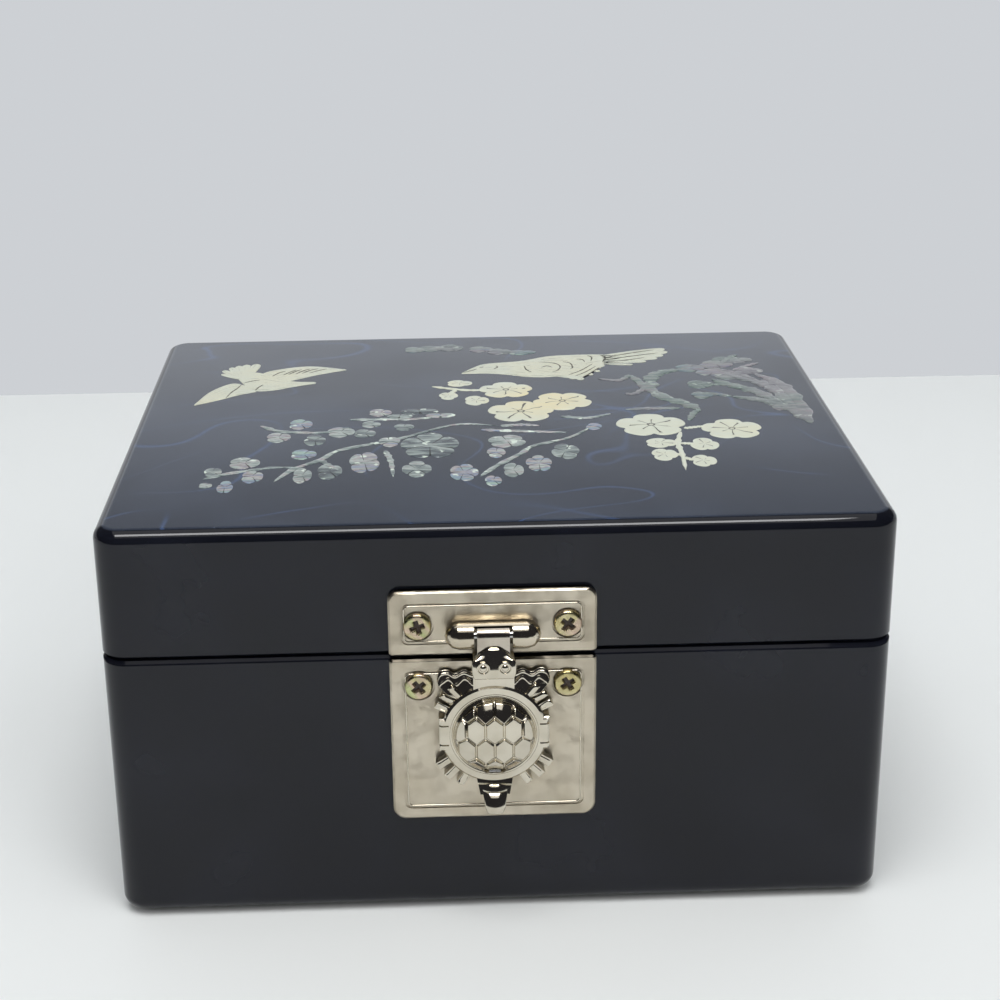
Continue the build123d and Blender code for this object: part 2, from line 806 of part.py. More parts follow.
def plate_corners():
    """Corners of an upright hexagonal plate, shrunk by half a groove."""
    half = (hexagon_pitch - plate_groove_width) / 2
    side = (hexagon_row_pitch - hexagon_slant) / 2
    tall = side + hexagon_slant - plate_groove_width / 2
    return [(0, tall), (half, side), (half, -side), (0, -tall), (-half, -side), (-half, side)]


def raised_plates():
    """All hexagonal plates, cut off where the dome's ring begins."""
    with BuildPart() as plates:
        for x, z in hexagon_centres():
            with BuildSketch(plate_plane(x, z)):
                Polygon(*plate_corners())
            extrude(amount=-2 * plate_groove_depth)
        with BuildSketch(clasp_plane):
            with Locations((0, -shell_drop)):
                Circle(shell_radius - plate_inset)
        extrude(amount=2 * shell_apex, mode=Mode.INTERSECT)
    return plates.part


with BuildPart() as turtle_shell:
    with BuildSketch(clasp_plane.offset(shell_seat)):
        with Locations((0, -shell_drop)):
            Circle(shell_radius - shell_ring_width)
    extrude(amount=shell_apex)
    for x, z in hexagon_centres(1):
        split(bisect_by=plate_plane(x, z).offset(-plate_groove_depth), keep=Keep.BOTTOM)
    with BuildSketch(clasp_plane.offset(shell_seat)):
        with Locations((0, -shell_drop)):
            Circle(shell_radius)
    extrude(amount=rim_front - shell_seat)
    add(raised_plates())
    with BuildSketch(clasp_plane):
        with Locations((0, -shell_drop)):
            RegularPolygon(shell_radius - shell_thickness, shell_cavity_sides)
    extrude(amount=rim_front - shell_thickness, mode=Mode.SUBTRACT)
    with BuildSketch(clasp_plane.offset(shell_seat)):
        with Locations((0, -catch_drop)):
            Rectangle(catch_window_width, catch_window_height)
    extrude(amount=shell_apex, mode=Mode.SUBTRACT)
keep(turtle_shell.part, "turtle_shell")


def eye_rivet(x):
    """A rivet whose stepped round head is one of the turtle's eyes."""
    with BuildPart() as rivet:
        for radius, low, high in (
            (eye_radius, head_front, head_front + eye_rim),
            (eye_ball_radius, head_front + eye_rim, head_front + 2 * eye_rim),
        ):
            with BuildSketch(clasp_plane.offset(low)):
                with Locations((x, eye_height)):
                    Circle(radius)
            extrude(amount=high - low)
        with BuildSketch(clasp_plane.offset(strap_back)):
            with Locations((x, eye_height)):
                RegularPolygon(rivet_radius, hidden_sides)
        extrude(amount=head_front - strap_back)
    return rivet.part


keep(Compound(children=[eye_rivet(-eye_spacing / 2), eye_rivet(eye_spacing / 2)]), "eye_rivets")

# Sprung catch
spring_back = plate_thickness
spring_front = plate_thickness + spring_thickness
spring_top = spring_tail - catch_rivet_drop
spring_bend = -catch_drop + nib_reach - spring_front
half_spring = spring_thickness / 2
with BuildPart() as catch_spring:
    with BuildSketch(side_plane(spring_width)):
        Polygon(
            (spring_back, spring_top),
            (spring_back, spring_bend - half_spring),
            (nib_reach, -catch_drop - half_spring),
            (nib_tip, -catch_drop - half_spring),
            (nib_tip, -catch_drop + half_spring),
            (nib_reach + half_spring, -catch_drop + half_spring),
            (spring_front, spring_bend),
            (spring_front, spring_top),
            align=None,
        )
    extrude(amount=spring_width)
    shoulder = (spring_width - nib_width) / 2
    shoulder_middle = (spring_width + nib_width) / 4
    with BuildSketch(clasp_plane):
        with Locations((-shoulder_middle, -catch_drop), (shoulder_middle, -catch_drop)):
            Rectangle(shoulder, spring_tail)
    extrude(amount=shell_apex, mode=Mode.SUBTRACT)
    with BuildSketch(side_plane(nib_width)):
        with Locations((nib_tip, -catch_drop)):
            Circle(nib_radius)
    extrude(amount=nib_width)
    with BuildSketch(clasp_plane):
        with Locations((0, -catch_rivet_drop)):
            RegularPolygon(rivet_radius, hidden_sides)
    extrude(amount=rim_front, mode=Mode.SUBTRACT)
keep(catch_spring.part, "catch_spring")

with BuildPart() as catch_rivet:
    with BuildSketch(clasp_plane.offset(spring_back)):
        with Locations((0, -catch_rivet_drop)):
            RegularPolygon(rivet_radius, hidden_sides)
    extrude(amount=spring_thickness)
    with BuildSketch(clasp_plane.offset(spring_front)):
        with Locations((0, -catch_rivet_drop)):
            Circle(catch_rivet_radius)
    extrude(amount=catch_rivet_height)
keep(catch_rivet.part, "catch_rivet")


# Inlay of thin shell on the lid: birds, plum blossoms, buds, leaves and branches
def inlay_layer(*sketches):
    """Thin pieces lying on the lid, one solid for each separate outline."""
    with BuildPart() as layer:
        for sketch in sketches:
            extrude(sketch, amount=inlay_thickness, dir=(0, 0, 1))
    return layer.part


def polar_outline(radius, lobes, depth, count, turn=0.0, slim=1.0):
    """Corners round a lobed outline: the radius dips by depth between its lobes."""
    corners = []
    for i in range(count):
        angle = radians(360 * i / count)
        reach = radius * (1 - depth * (1 - abs(cos(lobes * angle / 2))) ** 2)
        x, y = reach * cos(angle), slim * reach * sin(angle)
        lean = radians(turn)
        corners.append((x * cos(lean) - y * sin(lean), x * sin(lean) + y * cos(lean)))
    return corners


def lid_place(x, y):
    """Turns hundredths of the lid into lengths."""
    return x * inlay_unit_x, y * inlay_unit_y


def blossoms(places):
    """Five-petalled blossoms, each given as x, y, radius and turn."""
    with BuildSketch(Plane.XY.offset(box_height)) as outline:
        for x, y, reach, turn in places:
            radius = reach * inlay_unit_x
            with Locations(lid_place(x, y)):
                corners = polar_outline(radius, petal_count, petal_dip, petal_corners * petal_count, turn)
                Polygon(*corners, align=None)
    return outline.sketch


def buds(places):
    """Two-petalled buds, each given as x, y, length and turn."""
    with BuildSketch(Plane.XY.offset(box_height)) as outline:
        for x, y, length, turn in places:
            radius = length * inlay_unit_x / 2
            with Locations(lid_place(x, y)):
                Polygon(*polar_outline(radius, 2, petal_dip, 2 * petal_corners, turn), align=None)
    return outline.sketch


def twigs(paths, width):
    """Branches of even width, kinked at the places that each one passes."""
    with BuildSketch(Plane.XY.offset(box_height)) as outline:
        for path in paths:
            with BuildLine():
                Polyline(*[lid_place(x, y) for x, y in path])
            trace(line_width=width)
    return outline.sketch


flying_bird = (
    (-42.5, 9.1), (-41.8, 15.4), (-39.4, 19.8), (-37.3, 22), (-39.5, 27.7), (-39.1, 30.9),
    (-37.5, 31.9), (-34.6, 33), (-34.1, 28.1), (-32.1, 28.7), (-28.2, 30.5), (-24.1, 30.8),
    (-20.7, 28.2), (-24, 26.4), (-27.9, 23.5), (-31.1, 22.2), (-30.9, 21.4), (-26.6, 21.9),
    (-25.1, 20.5), (-29.9, 18), (-33.3, 16.7), (-35.2, 15.6), (-38.1, 12.5),
)
perching_bird = (
    (-3.3, 24.5), (-1.3, 28.1), (0.8, 30.6), (3.7, 30.9), (6.3, 31.8), (10.5, 34.4), (15.3, 35.1),
    (19.7, 35.1), (22.8, 36.9), (26.6, 38.4), (29.4, 37.4), (29.6, 34.4), (28.3, 33.7),
    (28.2, 32.5), (26.1, 30.7), (23.9, 28.2), (22.2, 27.6), (19.4, 27.8), (18.3, 26.4),
    (18.1, 24.1), (16.9, 22.1), (15, 19.2), (13.9, 19.8), (13.3, 21.9), (11.2, 21.8), (7.5, 21.6),
    (3.6, 23.6), (0.6, 24.6),
)


def bird(corners):
    """A bird cut from one sheet."""
    with BuildSketch(Plane.XY.offset(box_height)) as outline:
        Polygon(*[lid_place(x, y) for x, y in corners], align=None)
    return outline.sketch


ivory_blossom_places = (
    (3.8, 14.1, 3.5, 20), (5, 2.1, 4.8, 90), (11.7, 7.5, 4.1, 50), (22.9, -6.5, 4.9, 90),
    (34, -9.4, 4.3, 20),
)
ivory_bud_places = (
    (-3, 19.2, 3.3, 0), (-4.7, 12.2, 2.7, 20), (-0.7, 9.4, 3, 0), (23.1, -16.2, 3.3, 0),
    (23.7, -21.6, 3, 10), (29.3, -18, 4, -25), (28.5, -24.7, 3.3, 0),
)
ivory_stems = (
    ((-7.3, 17.3), (-4, 15.3), (0.7, 13.7)), ((27.3, -8.6), (26.3, -17.3), (25.3, -29)),
    ((26.3, -14.9), (25, -15.5), (24, -15.7)), ((26.2, -16.1), (27.3, -16.3), (28.7, -16.9)),
    ((25.9, -22), (25, -22.1), (24, -22)), ((25.8, -23.5), (26.7, -24.3), (28, -24.7)),
)
abalone_blossom_places = (
    (-10, -13.7, 5.1, 90), (-20, -21.2, 3.3, 40), (-12.3, -23.9, 3.1, 90), (2.3, -14.5, 3.1, 60),
    (10.3, -18.8, 2.9, 20), (6.7, -25.5, 2.8, 90), (-5.3, -27.5, 2.8, 0),
)
abalone_bud_places = (
    (-29, -1.6, 4, 0), (-31, -8.6, 3.7, 10), (-26.3, -11, 3.7, -20), (-19.7, -7.1, 4, 10),
    (-18, 3.9, 3.7, 0), (-19, -2.7, 3.3, 0), (-27.3, -17.3, 4, 0), (-24.3, -25.1, 3.7, 20),
    (-29, -27.5, 3, 0), (-35.3, -20, 4.3, 0), (-38.7, -24.3, 3, 20), (-34, -28.2, 3.3, 0),
    (-16, -9, 3.3, 30), (-13.3, -4.7, 3.3, 0), (0, -32.9, 2.7, 20), (3.3, -29, 3, 0),
)
abalone_leaf_places = (
    (-8.7, 3.5, 5.3, 5), (-12, 1.2, 4.7, 10), (-5.3, 1.2, 4.7, -5), (-40, -31, 2.3, 30),
    (-36, -33.3, 3.3, 25),
)
abalone_stems = (
    ((-31, -32.2), (-26, -21.2), (-16, -14.1)), ((-40, -28.2), (-33.3, -24.7), (-26, -21.2)),
    ((-38, 0), (-26.7, -7.5), (-16, -13.3)), ((-22.7, 0), (-8, -0.8), (6, -5.1)),
    ((-1.3, -30.6), (4.7, -17.3), (15, -5.9)),
)
pine_trunk = (
    ((46.3, -7.1), (38, 9.4), (22.7, 22.7)), ((30.7, 15.3), (32.3, 6.3), (29.3, -1.6)),
    ((36.7, 11), (39, 18.8), (40, 25.9)),
)
pine_needle_places = (
    (33.3, 25.9, 6, 20), (38, 30.6, 5.3, -20), (28.7, 29.8, 4.7, 10), (41.3, 20.4, 5.3, -50),
    (34.7, 34.5, 4.7, 0), (-12, 40.8, 4.7, 0), (-5.3, 42.4, 4.7, 15), (2.7, 41.6, 4.7, -10),
    (9.3, 42.4, 4, 0),
)


def leaves(places):
    """Slim leaves, each given as x, y, length and turn."""
    with BuildSketch(Plane.XY.offset(box_height)) as outline:
        for x, y, length, turn in places:
            radius = length * inlay_unit_x / 2
            with Locations(lid_place(x, y)):
                Polygon(*polar_outline(radius, 0, 0, leaf_corners, turn, leaf_slimness), align=None)
    return outline.sketch


pearl_birds = inlay_layer(bird(flying_bird), bird(perching_bird))
keep(pearl_birds, "pearl_birds")
pearl_blossoms = inlay_layer(
    blossoms(ivory_blossom_places), buds(ivory_bud_places), twigs(ivory_stems, branch_width)
)
keep(pearl_blossoms - pearl_birds, "pearl_blossoms")
abalone_blossoms = inlay_layer(
    blossoms(abalone_blossom_places), buds(abalone_bud_places), leaves(abalone_leaf_places)
)
abalone_blossoms = abalone_blossoms - pearl_birds - pearl_blossoms
keep(abalone_blossoms, "abalone_blossoms")
abalone_branches = inlay_layer(twigs(abalone_stems, branch_width))
abalone_branches = abalone_branches - pearl_birds - pearl_blossoms - abalone_blossoms
keep(abalone_branches, "abalone_branches")
pine_inlay = inlay_layer(twigs(pine_trunk, 2 * branch_width), leaves(pine_needle_places))
keep(pine_inlay - pearl_birds - pearl_blossoms - abalone_blossoms - abalone_branches, "pine_inlay")

print(len(finished), "nodes")
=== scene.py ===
"""Looks of a lacquered jewellery box with shell inlay and a turtle hasp.

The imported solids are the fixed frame. Lacquered and metal parts are smoothed copies of their solids,
and the inlay, the turtle's domed shell and the velvet padding are surfaces worked out here.
Sizes in the classes are millimetres, unless they are said to be metres; meshes are metres.
"""

import logging
import math
from collections.abc import Callable
from dataclasses import dataclass, field
from enum import Enum
from functools import partial

import bmesh
import bpy
import numpy as np
from mathutils import Matrix, Vector


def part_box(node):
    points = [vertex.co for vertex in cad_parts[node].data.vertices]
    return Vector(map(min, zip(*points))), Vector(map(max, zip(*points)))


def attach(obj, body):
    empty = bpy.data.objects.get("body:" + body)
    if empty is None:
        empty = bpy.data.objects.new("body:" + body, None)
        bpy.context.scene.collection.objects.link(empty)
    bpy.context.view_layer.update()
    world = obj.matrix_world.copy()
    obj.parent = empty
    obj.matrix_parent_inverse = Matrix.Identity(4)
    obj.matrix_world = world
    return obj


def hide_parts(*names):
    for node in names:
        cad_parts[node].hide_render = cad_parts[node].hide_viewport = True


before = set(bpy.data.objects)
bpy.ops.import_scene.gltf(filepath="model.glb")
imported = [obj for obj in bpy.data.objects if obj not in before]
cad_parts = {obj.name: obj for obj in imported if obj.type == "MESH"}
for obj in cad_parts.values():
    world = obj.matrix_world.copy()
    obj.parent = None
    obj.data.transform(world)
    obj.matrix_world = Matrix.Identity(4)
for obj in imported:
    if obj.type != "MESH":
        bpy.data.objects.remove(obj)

log = logging.getLogger("jewellery_box")
MM = 0.001
ASIDE, FRONT, SEAM = -1.35, 63.75, 55.8

Array = np.ndarray
Point = tuple[float, float]
Line = tuple[Point, ...]
Triple = tuple[float, float, float]
Colour = Triple
Disc = tuple[float, float, float, float, float]
Material = bpy.types.Material
Piece = bpy.types.Object


class Body(Enum):
    """The moving bodies that pieces ride on."""

    BASE = "base"
    LID = "lid"
    HASP = "hasp"


class Signal:
    """A value that flows through a material's tree. Sums and comparisons on it add Math nodes."""

    def __init__(self, tree: "Tree", socket: bpy.types.NodeSocket) -> None:
        """Keeps the tree and the output socket."""
        self.tree, self.socket = tree, socket

    def apply(self, operation: str, *others: object) -> "Signal":
        """A Math node's operation on this value and others, in that order."""
        return self.tree.math(operation, self, *others)

    def __add__(self, other: object) -> "Signal":
        """The sum of two values."""
        return self.apply("ADD", other)

    def __sub__(self, other: object) -> "Signal":
        """The difference of two values."""
        return self.apply("SUBTRACT", other)

    def __rsub__(self, other: object) -> "Signal":
        """A number less this value."""
        return self.tree.math("SUBTRACT", other, self)

    def __mul__(self, other: object) -> "Signal":
        """The product of two values."""
        return self.apply("MULTIPLY", other)

    def __abs__(self) -> "Signal":
        """The value without its sign."""
        return self.apply("ABSOLUTE")

    def __lt__(self, other: object) -> "Signal":
        """1 where this value is less, and 0 elsewhere."""
        return self.apply("LESS_THAN", other)

    def __gt__(self, other: object) -> "Signal":
        """1 where this value is greater, and 0 elsewhere."""
        return self.apply("GREATER_THAN", other)

    def most(self, other: object) -> "Signal":
        """The greater of two values."""
        return self.apply("MAXIMUM", other)

    def step(self, low: float, high: float, start: float = 0.0, end: float = 1.0) -> "Signal":
        """A smooth step from the start result at the low value to the end result at the high one."""
        inputs = {"Value": self, "From Min": low, "From Max": high, "To Min": start, "To Max": end}
        return self.tree.add("ShaderNodeMapRange", inputs, interpolation_type="SMOOTHSTEP")


class Tree:
    """A material's node tree, with short calls that add nodes and join them."""

    def __init__(self, name: str) -> None:
        """Starts a material with one Principled shader.

        Args:
            name: the material's name.
        """
        self.material = bpy.data.materials.new(name)
        self.material.use_nodes = True
        self.nodes = self.material.node_tree.nodes
        self.links = self.material.node_tree.links
        self.shader = self.nodes["Principled BSDF"]
        self.shaded = Signal(self, self.shader.outputs[0])

    def feed(self, socket: bpy.types.NodeSocket, value: object) -> None:
        """Joins a socket to a signal, or sets it to a constant.

        Args:
            socket: the input socket.
            value: a signal, a number, or a colour of three numbers.
        """
        if isinstance(value, Signal):
            self.links.new(value.socket, socket)
        elif isinstance(value, tuple) and socket.type == "RGBA":
            socket.default_value = (*value, 1.0)
        else:
            socket.default_value = value

    def shade(self, **values: object) -> None:
        """Sets the shader's sockets by name, with underscores for spaces."""
        for name, value in values.items():
            self.feed(self.shader.inputs[name.replace("_", " ")], value)

    def node(self, kind: str, inputs: dict, **settings: object) -> bpy.types.Node:
        """Adds a node and feeds its inputs.

        Args:
            kind: the node's type name.
            inputs: input index or name to value.
            **settings: node properties.

        Returns:
            The node.
        """
        node = self.nodes.new(kind)
        for name, value in settings.items():
            setattr(node, name, value)
        for key, value in inputs.items():
            self.feed(node.inputs[key], value)
        return node

    def add(self, kind: str, inputs: dict, output: int | str = 0, **settings: object) -> Signal:
        """Adds a node and gives one of its outputs, by index or name."""
        return Signal(self, self.node(kind, inputs, **settings).outputs[output])

    def math(self, operation: str, *values: object) -> Signal:
        """One Math node, with its inputs in order."""
        return self.add("ShaderNodeMath", dict(enumerate(values)), operation=operation)

    def place(self) -> Signal:
        """The place on the object, in metres."""
        return self.add("ShaderNodeTexCoord", {}, "Object")

    def split(self, vector: Signal) -> tuple[Signal, ...]:
        """A vector's X, Y and Z."""
        parts = self.node("ShaderNodeSeparateXYZ", {0: vector}).outputs
        return tuple(Signal(self, part) for part in parts)

    def pattern(self) -> tuple[Signal, ...]:
        """The piece's own pattern coordinates U and V."""
        return self.split(self.add("ShaderNodeTexCoord", {}, "UV"))[:2]

    def polar(self) -> tuple[Signal, Signal]:
        """Angle in radians and reach of the pattern coordinates about their middle."""
        u, v = self.pattern()
        return v.apply("ARCTAN2", u), (u * u + v * v).apply("SQRT")

    def attribute(self, name: str) -> Signal:
        """A number kept on the piece's points under this name."""
        return self.add("ShaderNodeAttribute", {}, "Fac", attribute_name=name)

    def ray(self, kind: str) -> Signal:
        """1 for rays of this kind, such as Glossy, and 0 for others."""
        return self.add("ShaderNodeLightPath", {}, f"Is {kind} Ray")

    def scaled(self, vector: Signal, scale: Triple, turn: float = 0.0) -> Signal:
        """A pattern's coordinates, stretched along X, Y and Z and turned about Z, in radians."""
        return self.add("ShaderNodeMapping", {"Vector": vector, "Scale": scale, "Rotation": (0.0, 0.0, turn)})

    def noise(self, vector: Signal, scale: float, detail: float = 2.0, distortion: float = 0.0) -> Signal:
        """Cloudy noise, about 0.3 to 0.7: spots per metre, finer layers and swirl."""
        inputs = {"Vector": vector, "Scale": scale, "Detail": detail, "Distortion": distortion}
        return self.add("ShaderNodeTexNoise", inputs, "Fac")

    def blend(self, share: object, first: object, second: object) -> Signal:
        """A mix of two colours, by the second one's share of 0 to 1."""
        return self.add("ShaderNodeMix", {0: share, 6: first, 7: second}, 2, data_type="RGBA")

    def ramp(self, value: Signal, stops: tuple[tuple[float, Colour], ...]) -> Signal:
        """Colours along a value.

        Args:
            value: the value that is coloured.
            stops: place and colour of each stop.

        Returns:
            The colour.
        """
        node = self.node("ShaderNodeValToRGB", {0: value})
        elements = node.color_ramp.elements
        while len(elements) < len(stops):
            elements.new(0.5)
        for element, (place, colour) in zip(elements, stops):
            element.position = place
            element.color = (*colour, 1.0)
        return Signal(self, node.outputs[0])

    def relief(self, height: Signal, depth: float, strength: float = 1.0) -> None:
        """Raises the surface's shading by a height of 0 to 1, whose real depth is in metres."""
        inputs = {"Height": height, "Distance": depth, "Strength": strength}
        self.shade(Normal=self.add("ShaderNodeBump", inputs))

    def glow(self, **inputs: object) -> Signal:
        """A glowing shader with this Color or Strength."""
        return self.add("ShaderNodeEmission", inputs)

    def clear(self) -> Signal:
        """A shader that rays pass through."""
        return self.add("ShaderNodeBsdfTransparent", {})

    def mixed(self, share: object, first: Signal, second: Signal) -> Signal:
        """A mix of two shaders, by the second one's share."""
        return self.add("ShaderNodeMixShader", {0: share, 1: first, 2: second})

    def surface(self, shader: Signal) -> None:
        """Makes a shader the material's surface."""
        self.feed(self.nodes["Material Output"].inputs[0], shader)


def times(colour: Colour, share: float) -> Colour:
    """A colour made lighter or darker by a share."""
    return tuple(share * part for part in colour)


@dataclass(frozen=True)
class Lacquer:
    """Deep polished lacquer over navy ground, hazy with faint blue threads on the lid's top.

    Each thread field is given by its scale, its lines' width and its turn.
    """

    ground: Colour = (0.0050, 0.0056, 0.0090)
    top_ground: Colour = (0.030, 0.039, 0.060)
    cloudy: float = 1.5
    speck: Colour = (0.11, 0.13, 0.16)
    thread: Colour = (0.055, 0.095, 0.20)
    threads: tuple[Triple, ...] = ((8.0, 0.005, 0.5), (15.0, 0.007, 1.4), (11.0, 0.004, 2.3))
    top_height: float = 81.46
    seam: Point = (54.75, 55.8)

    def make(self) -> Material:
        """Builds the material.

        Returns:
            The lacquer, whose threads are long thin ridges of swirled noise, shown in patches.
        """
        tree = Tree("lacquer")
        place = tree.place()
        height = tree.split(place)[2]
        on_top = height.step((self.top_height - 0.14) * MM, self.top_height * MM)
        cloud = tree.noise(place, 17.0, 4.0, 0.6).step(0.38, 0.66)
        top = tree.blend(cloud, self.top_ground, times(self.top_ground, self.cloudy))
        specks = tree.noise(place, 1100.0, 3.0).step(0.62, 0.74, 0.0, 0.25)
        top = tree.blend(specks, top, self.speck)
        lines = []
        for scale, width, turn in self.threads:
            swirl = tree.noise(tree.scaled(place, (1.0, 1.5, 1.0), turn), scale, 1.0, 0.8)
            patch = tree.noise(place, 2.2 * scale, 1.0).step(0.40, 0.56)
            lines.append(abs(swirl - 0.5).step(0.0, width, 1.0, 0.0) * patch)
        top = tree.blend(lines[0].most(lines[1]).most(lines[2]) * 0.8, top, self.thread)
        cloud = tree.noise(place, 45.0, 3.0).step(0.4, 0.7)
        side = tree.blend(cloud, self.ground, times(self.ground, self.cloudy))
        low, high = (edge * MM for edge in self.seam)
        in_seam = height.step(low - 0.00015, low) * height.step(high, high + 0.0001, 1.0, 0.0)
        gloss = on_top.step(0.0, 1.0, 0.33, 0.9) * in_seam.step(0.0, 1.0, 1.0, 0.05)
        haze = tree.noise(place, 60.0, 4.0).step(0.35, 0.75, 0.02, 0.045)
        top_haze = tree.noise(place, 25.0, 4.0).step(0.3, 0.7, 0.16, 0.26)
        tree.shade(Base_Color=tree.blend(on_top, side, top), Specular_IOR_Level=gloss,
                   Coat_Weight=on_top * 0.55, Coat_Roughness=0.05,
                   Roughness=tree.add("ShaderNodeMix", {0: on_top, 2: haze, 3: top_haze}))
        tree.relief(tree.noise(place, 55.0, 2.0), 0.00002, 0.5)
        return tree.material


@dataclass(frozen=True)
class Metal:
    """Plated or bright metal with a cast or rolled skin.

    What stands out in front of polished_beyond, in millimetres from the box's middle, is polished. Painted
    shade bands, each given by its foot, its top and the share of light left, are painted shade on the plates'
    top
    edges: on the lower plate's edge under the upper plate, and on the upper plate's edge, whose highlight
    they dim. The grain's depth is in metres.
    """

    name: str
    colour: Colour
    stain: Colour
    roughness: float = 0.2
    grain: float = 900.0
    grain_depth: float = 0.000012
    stain_scale: float = 180.0
    polished_beyond: float = 0.0
    polish: float = 0.14
    painted_shade_bands: tuple[Triple, ...] = ()
    band_blur: float = 0.02

    def make(self) -> Material:
        """Builds the material.

        Returns:
            The metal: a stained colour, bands of painted shade, uneven polish and a fine skin.
        """
        tree = Tree(self.name)
        place = tree.place()
        _, back, height = tree.split(place)
        rough = tree.noise(place, 420.0, 3.0).step(0.3, 0.72, self.roughness * 0.75, self.roughness * 1.35)
        if self.polished_beyond:
            front = -self.polished_beyond * MM
            rough = rough * back.step(front - 0.0003, front, self.polish / self.roughness, 1.0)
        patch = tree.noise(place, self.stain_scale, 4.0).step(0.36, 0.68)
        colour = tree.blend(patch, self.colour, self.stain)
        # painted shade: within each band the colour falls to a share of the stain, standing for shade and a
        # dimmed highlight
        for foot, top, left in self.painted_shade_bands:
            above = height.step((foot - self.band_blur) * MM, (foot + self.band_blur) * MM)
            below = height.step((top - self.band_blur) * MM, (top + self.band_blur) * MM, 1.0, 0.0)
            colour = tree.blend(above * below, colour, times(self.stain, left))
        tree.shade(Base_Color=colour, Metallic=1.0, Roughness=rough)
        tree.relief(tree.noise(place, self.grain, 3.0), self.grain_depth, 0.35)
        return tree.material


@dataclass(frozen=True)
class ZincPlate:
    """Yellow chromate on zinc, which shifts between straw, pink and green."""

    stops: tuple[tuple[float, Colour], ...] = (
        (0.32, (0.52, 0.44, 0.20)), (0.45, (0.58, 0.52, 0.30)), (0.55, (0.60, 0.46, 0.36)),
        (0.66, (0.50, 0.52, 0.27)))
    painted_shade_colour: Colour = (0.045, 0.026, 0.016)

    def make(self) -> Material:
        """Builds the material.

        Returns:
            The plating, coloured along a soft noise, with painted shade where the piece is marked as deep.
        """
        tree = Tree("zinc_plate")
        place = tree.place()
        deep = tree.attribute("deep")
        plating = tree.ramp(tree.noise(place, 130.0, 2.0, 0.8), self.stops)
        # painted shade: deep places turn dark brown and lose their metal
        tree.shade(Base_Color=tree.blend(deep, plating, self.painted_shade_colour), Metallic=deep.step(0.0, 1.0, 1.0, 0.0),
                   Roughness=tree.noise(place, 700.0, 2.0).step(0.3, 0.7, 0.22, 0.36))
        tree.relief(tree.noise(place, 1500.0, 2.0), 0.00001, 0.4)
        return tree.material


@dataclass(frozen=True)
class IvoryShell:
    """Ivory mother-of-pearl with engraved, darkened lines that follow the piece's own pattern.

    The warm spot is given across and back, in metres.
    """

    pale: Colour = (0.66, 0.68, 0.555)
    warm: Colour = (0.80, 0.70, 0.42)
    cool: Colour = (0.62, 0.70, 0.66)
    line: Colour = (0.055, 0.05, 0.04)
    warm_spot: Point = (0.012, 0.010)

    def make_blossom(self) -> Material:
        """Builds the petals' material.

        Returns:
            The shell: the pattern is 1 at a blossom's edge, and uneven stamens with small tips
            radiate from a ring.
        """
        tree = Tree("ivory_petals")
        place, lobes = tree.place(), tree.attribute("lobes")
        angle, reach = tree.polar()
        fine = (angle * (lobes + 2.0) + tree.noise(place, 320.0, 1.0) * 2.2).apply("COSINE")
        extent = tree.noise(place, 210.0, 1.0).step(0.35, 0.65, 0.40, 0.76)
        stamens = fine.step(0.93, 0.975) * (reach < extent) * reach.step(0.06, 0.12)
        tips = fine.step(0.86, 0.95) * abs(reach - extent).step(0.015, 0.04, 1.0, 0.0)
        ring = abs(reach - 0.1).step(0.015, 0.04, 1.0, 0.0) * (lobes > 4.0)
        return self._finish(tree, stamens.most(tips.most(ring)))

    def make_plumage(self) -> Material:
        """Builds the birds' material.

        Returns:
            The shell: long feathers run along the pattern's U with a line at each whole V,
            and fine barbs lie aslant between them.
        """
        tree = Tree("ivory_plumage")
        place = tree.place()
        along, across = tree.pattern()
        edge = abs((across + tree.noise(place, 260.0, 2.0) * 0.5).apply("FRACT") - 0.5)
        worn = tree.noise(place, 330.0, 2.0).step(0.44, 0.58)
        line = edge.step(0.44, 0.485) * along.step(0.08, 0.3) * worn
        barbs = (along * 120.0 + edge * 22.0).apply("SINE").step(0.5, 1.0) * 0.22
        return self._finish(tree, (line * 0.7).most(barbs))

    def make_line(self) -> Material:
        """Builds the dark filling of the engraved lines.

        Returns:
            The filling, uneven in depth of colour.
        """
        tree = Tree("engraved_line")
        worn = tree.noise(tree.place(), 700.0, 3.0).step(0.35, 0.7)
        tree.shade(Base_Color=tree.blend(worn, self.line, times(self.line, 2.6)), Roughness=0.5)
        return tree.material

    def _finish(self, tree: Tree, marks: Signal) -> Material:
        """Adds the shell's colour and gloss under engraved marks.

        Args:
            tree: the material's tree.
            marks: engraved lines, 1 where cut.

        Returns:
            The finished material.
        """
        place = tree.place()
        x, y, _ = tree.split(place)
        x, y = x - self.warm_spot[0], y - self.warm_spot[1]
        near = (x * x + y * y).apply("SQRT").step(0.004, 0.016, 0.75, 0.0)
        warmth = near + tree.noise(place, 46.0, 2.0).step(0.5, 0.68, 0.0, 0.22)
        shell = tree.blend(warmth, self.pale, self.warm)
        growth = tree.noise(tree.scaled(place, (1.0, 5.0, 1.0), 0.6), 160.0, 3.0).step(0.35, 0.7, 0.0, 0.25)
        shell = tree.blend(growth, shell, self.cool)
        tree.shade(Base_Color=tree.blend(marks, shell, self.line), Roughness=0.3, Specular_IOR_Level=0.5,
                   Coat_Weight=0.3, Coat_Roughness=0.08)
        tree.relief(1.0 - marks, 0.00006, 0.8)
        return tree.material


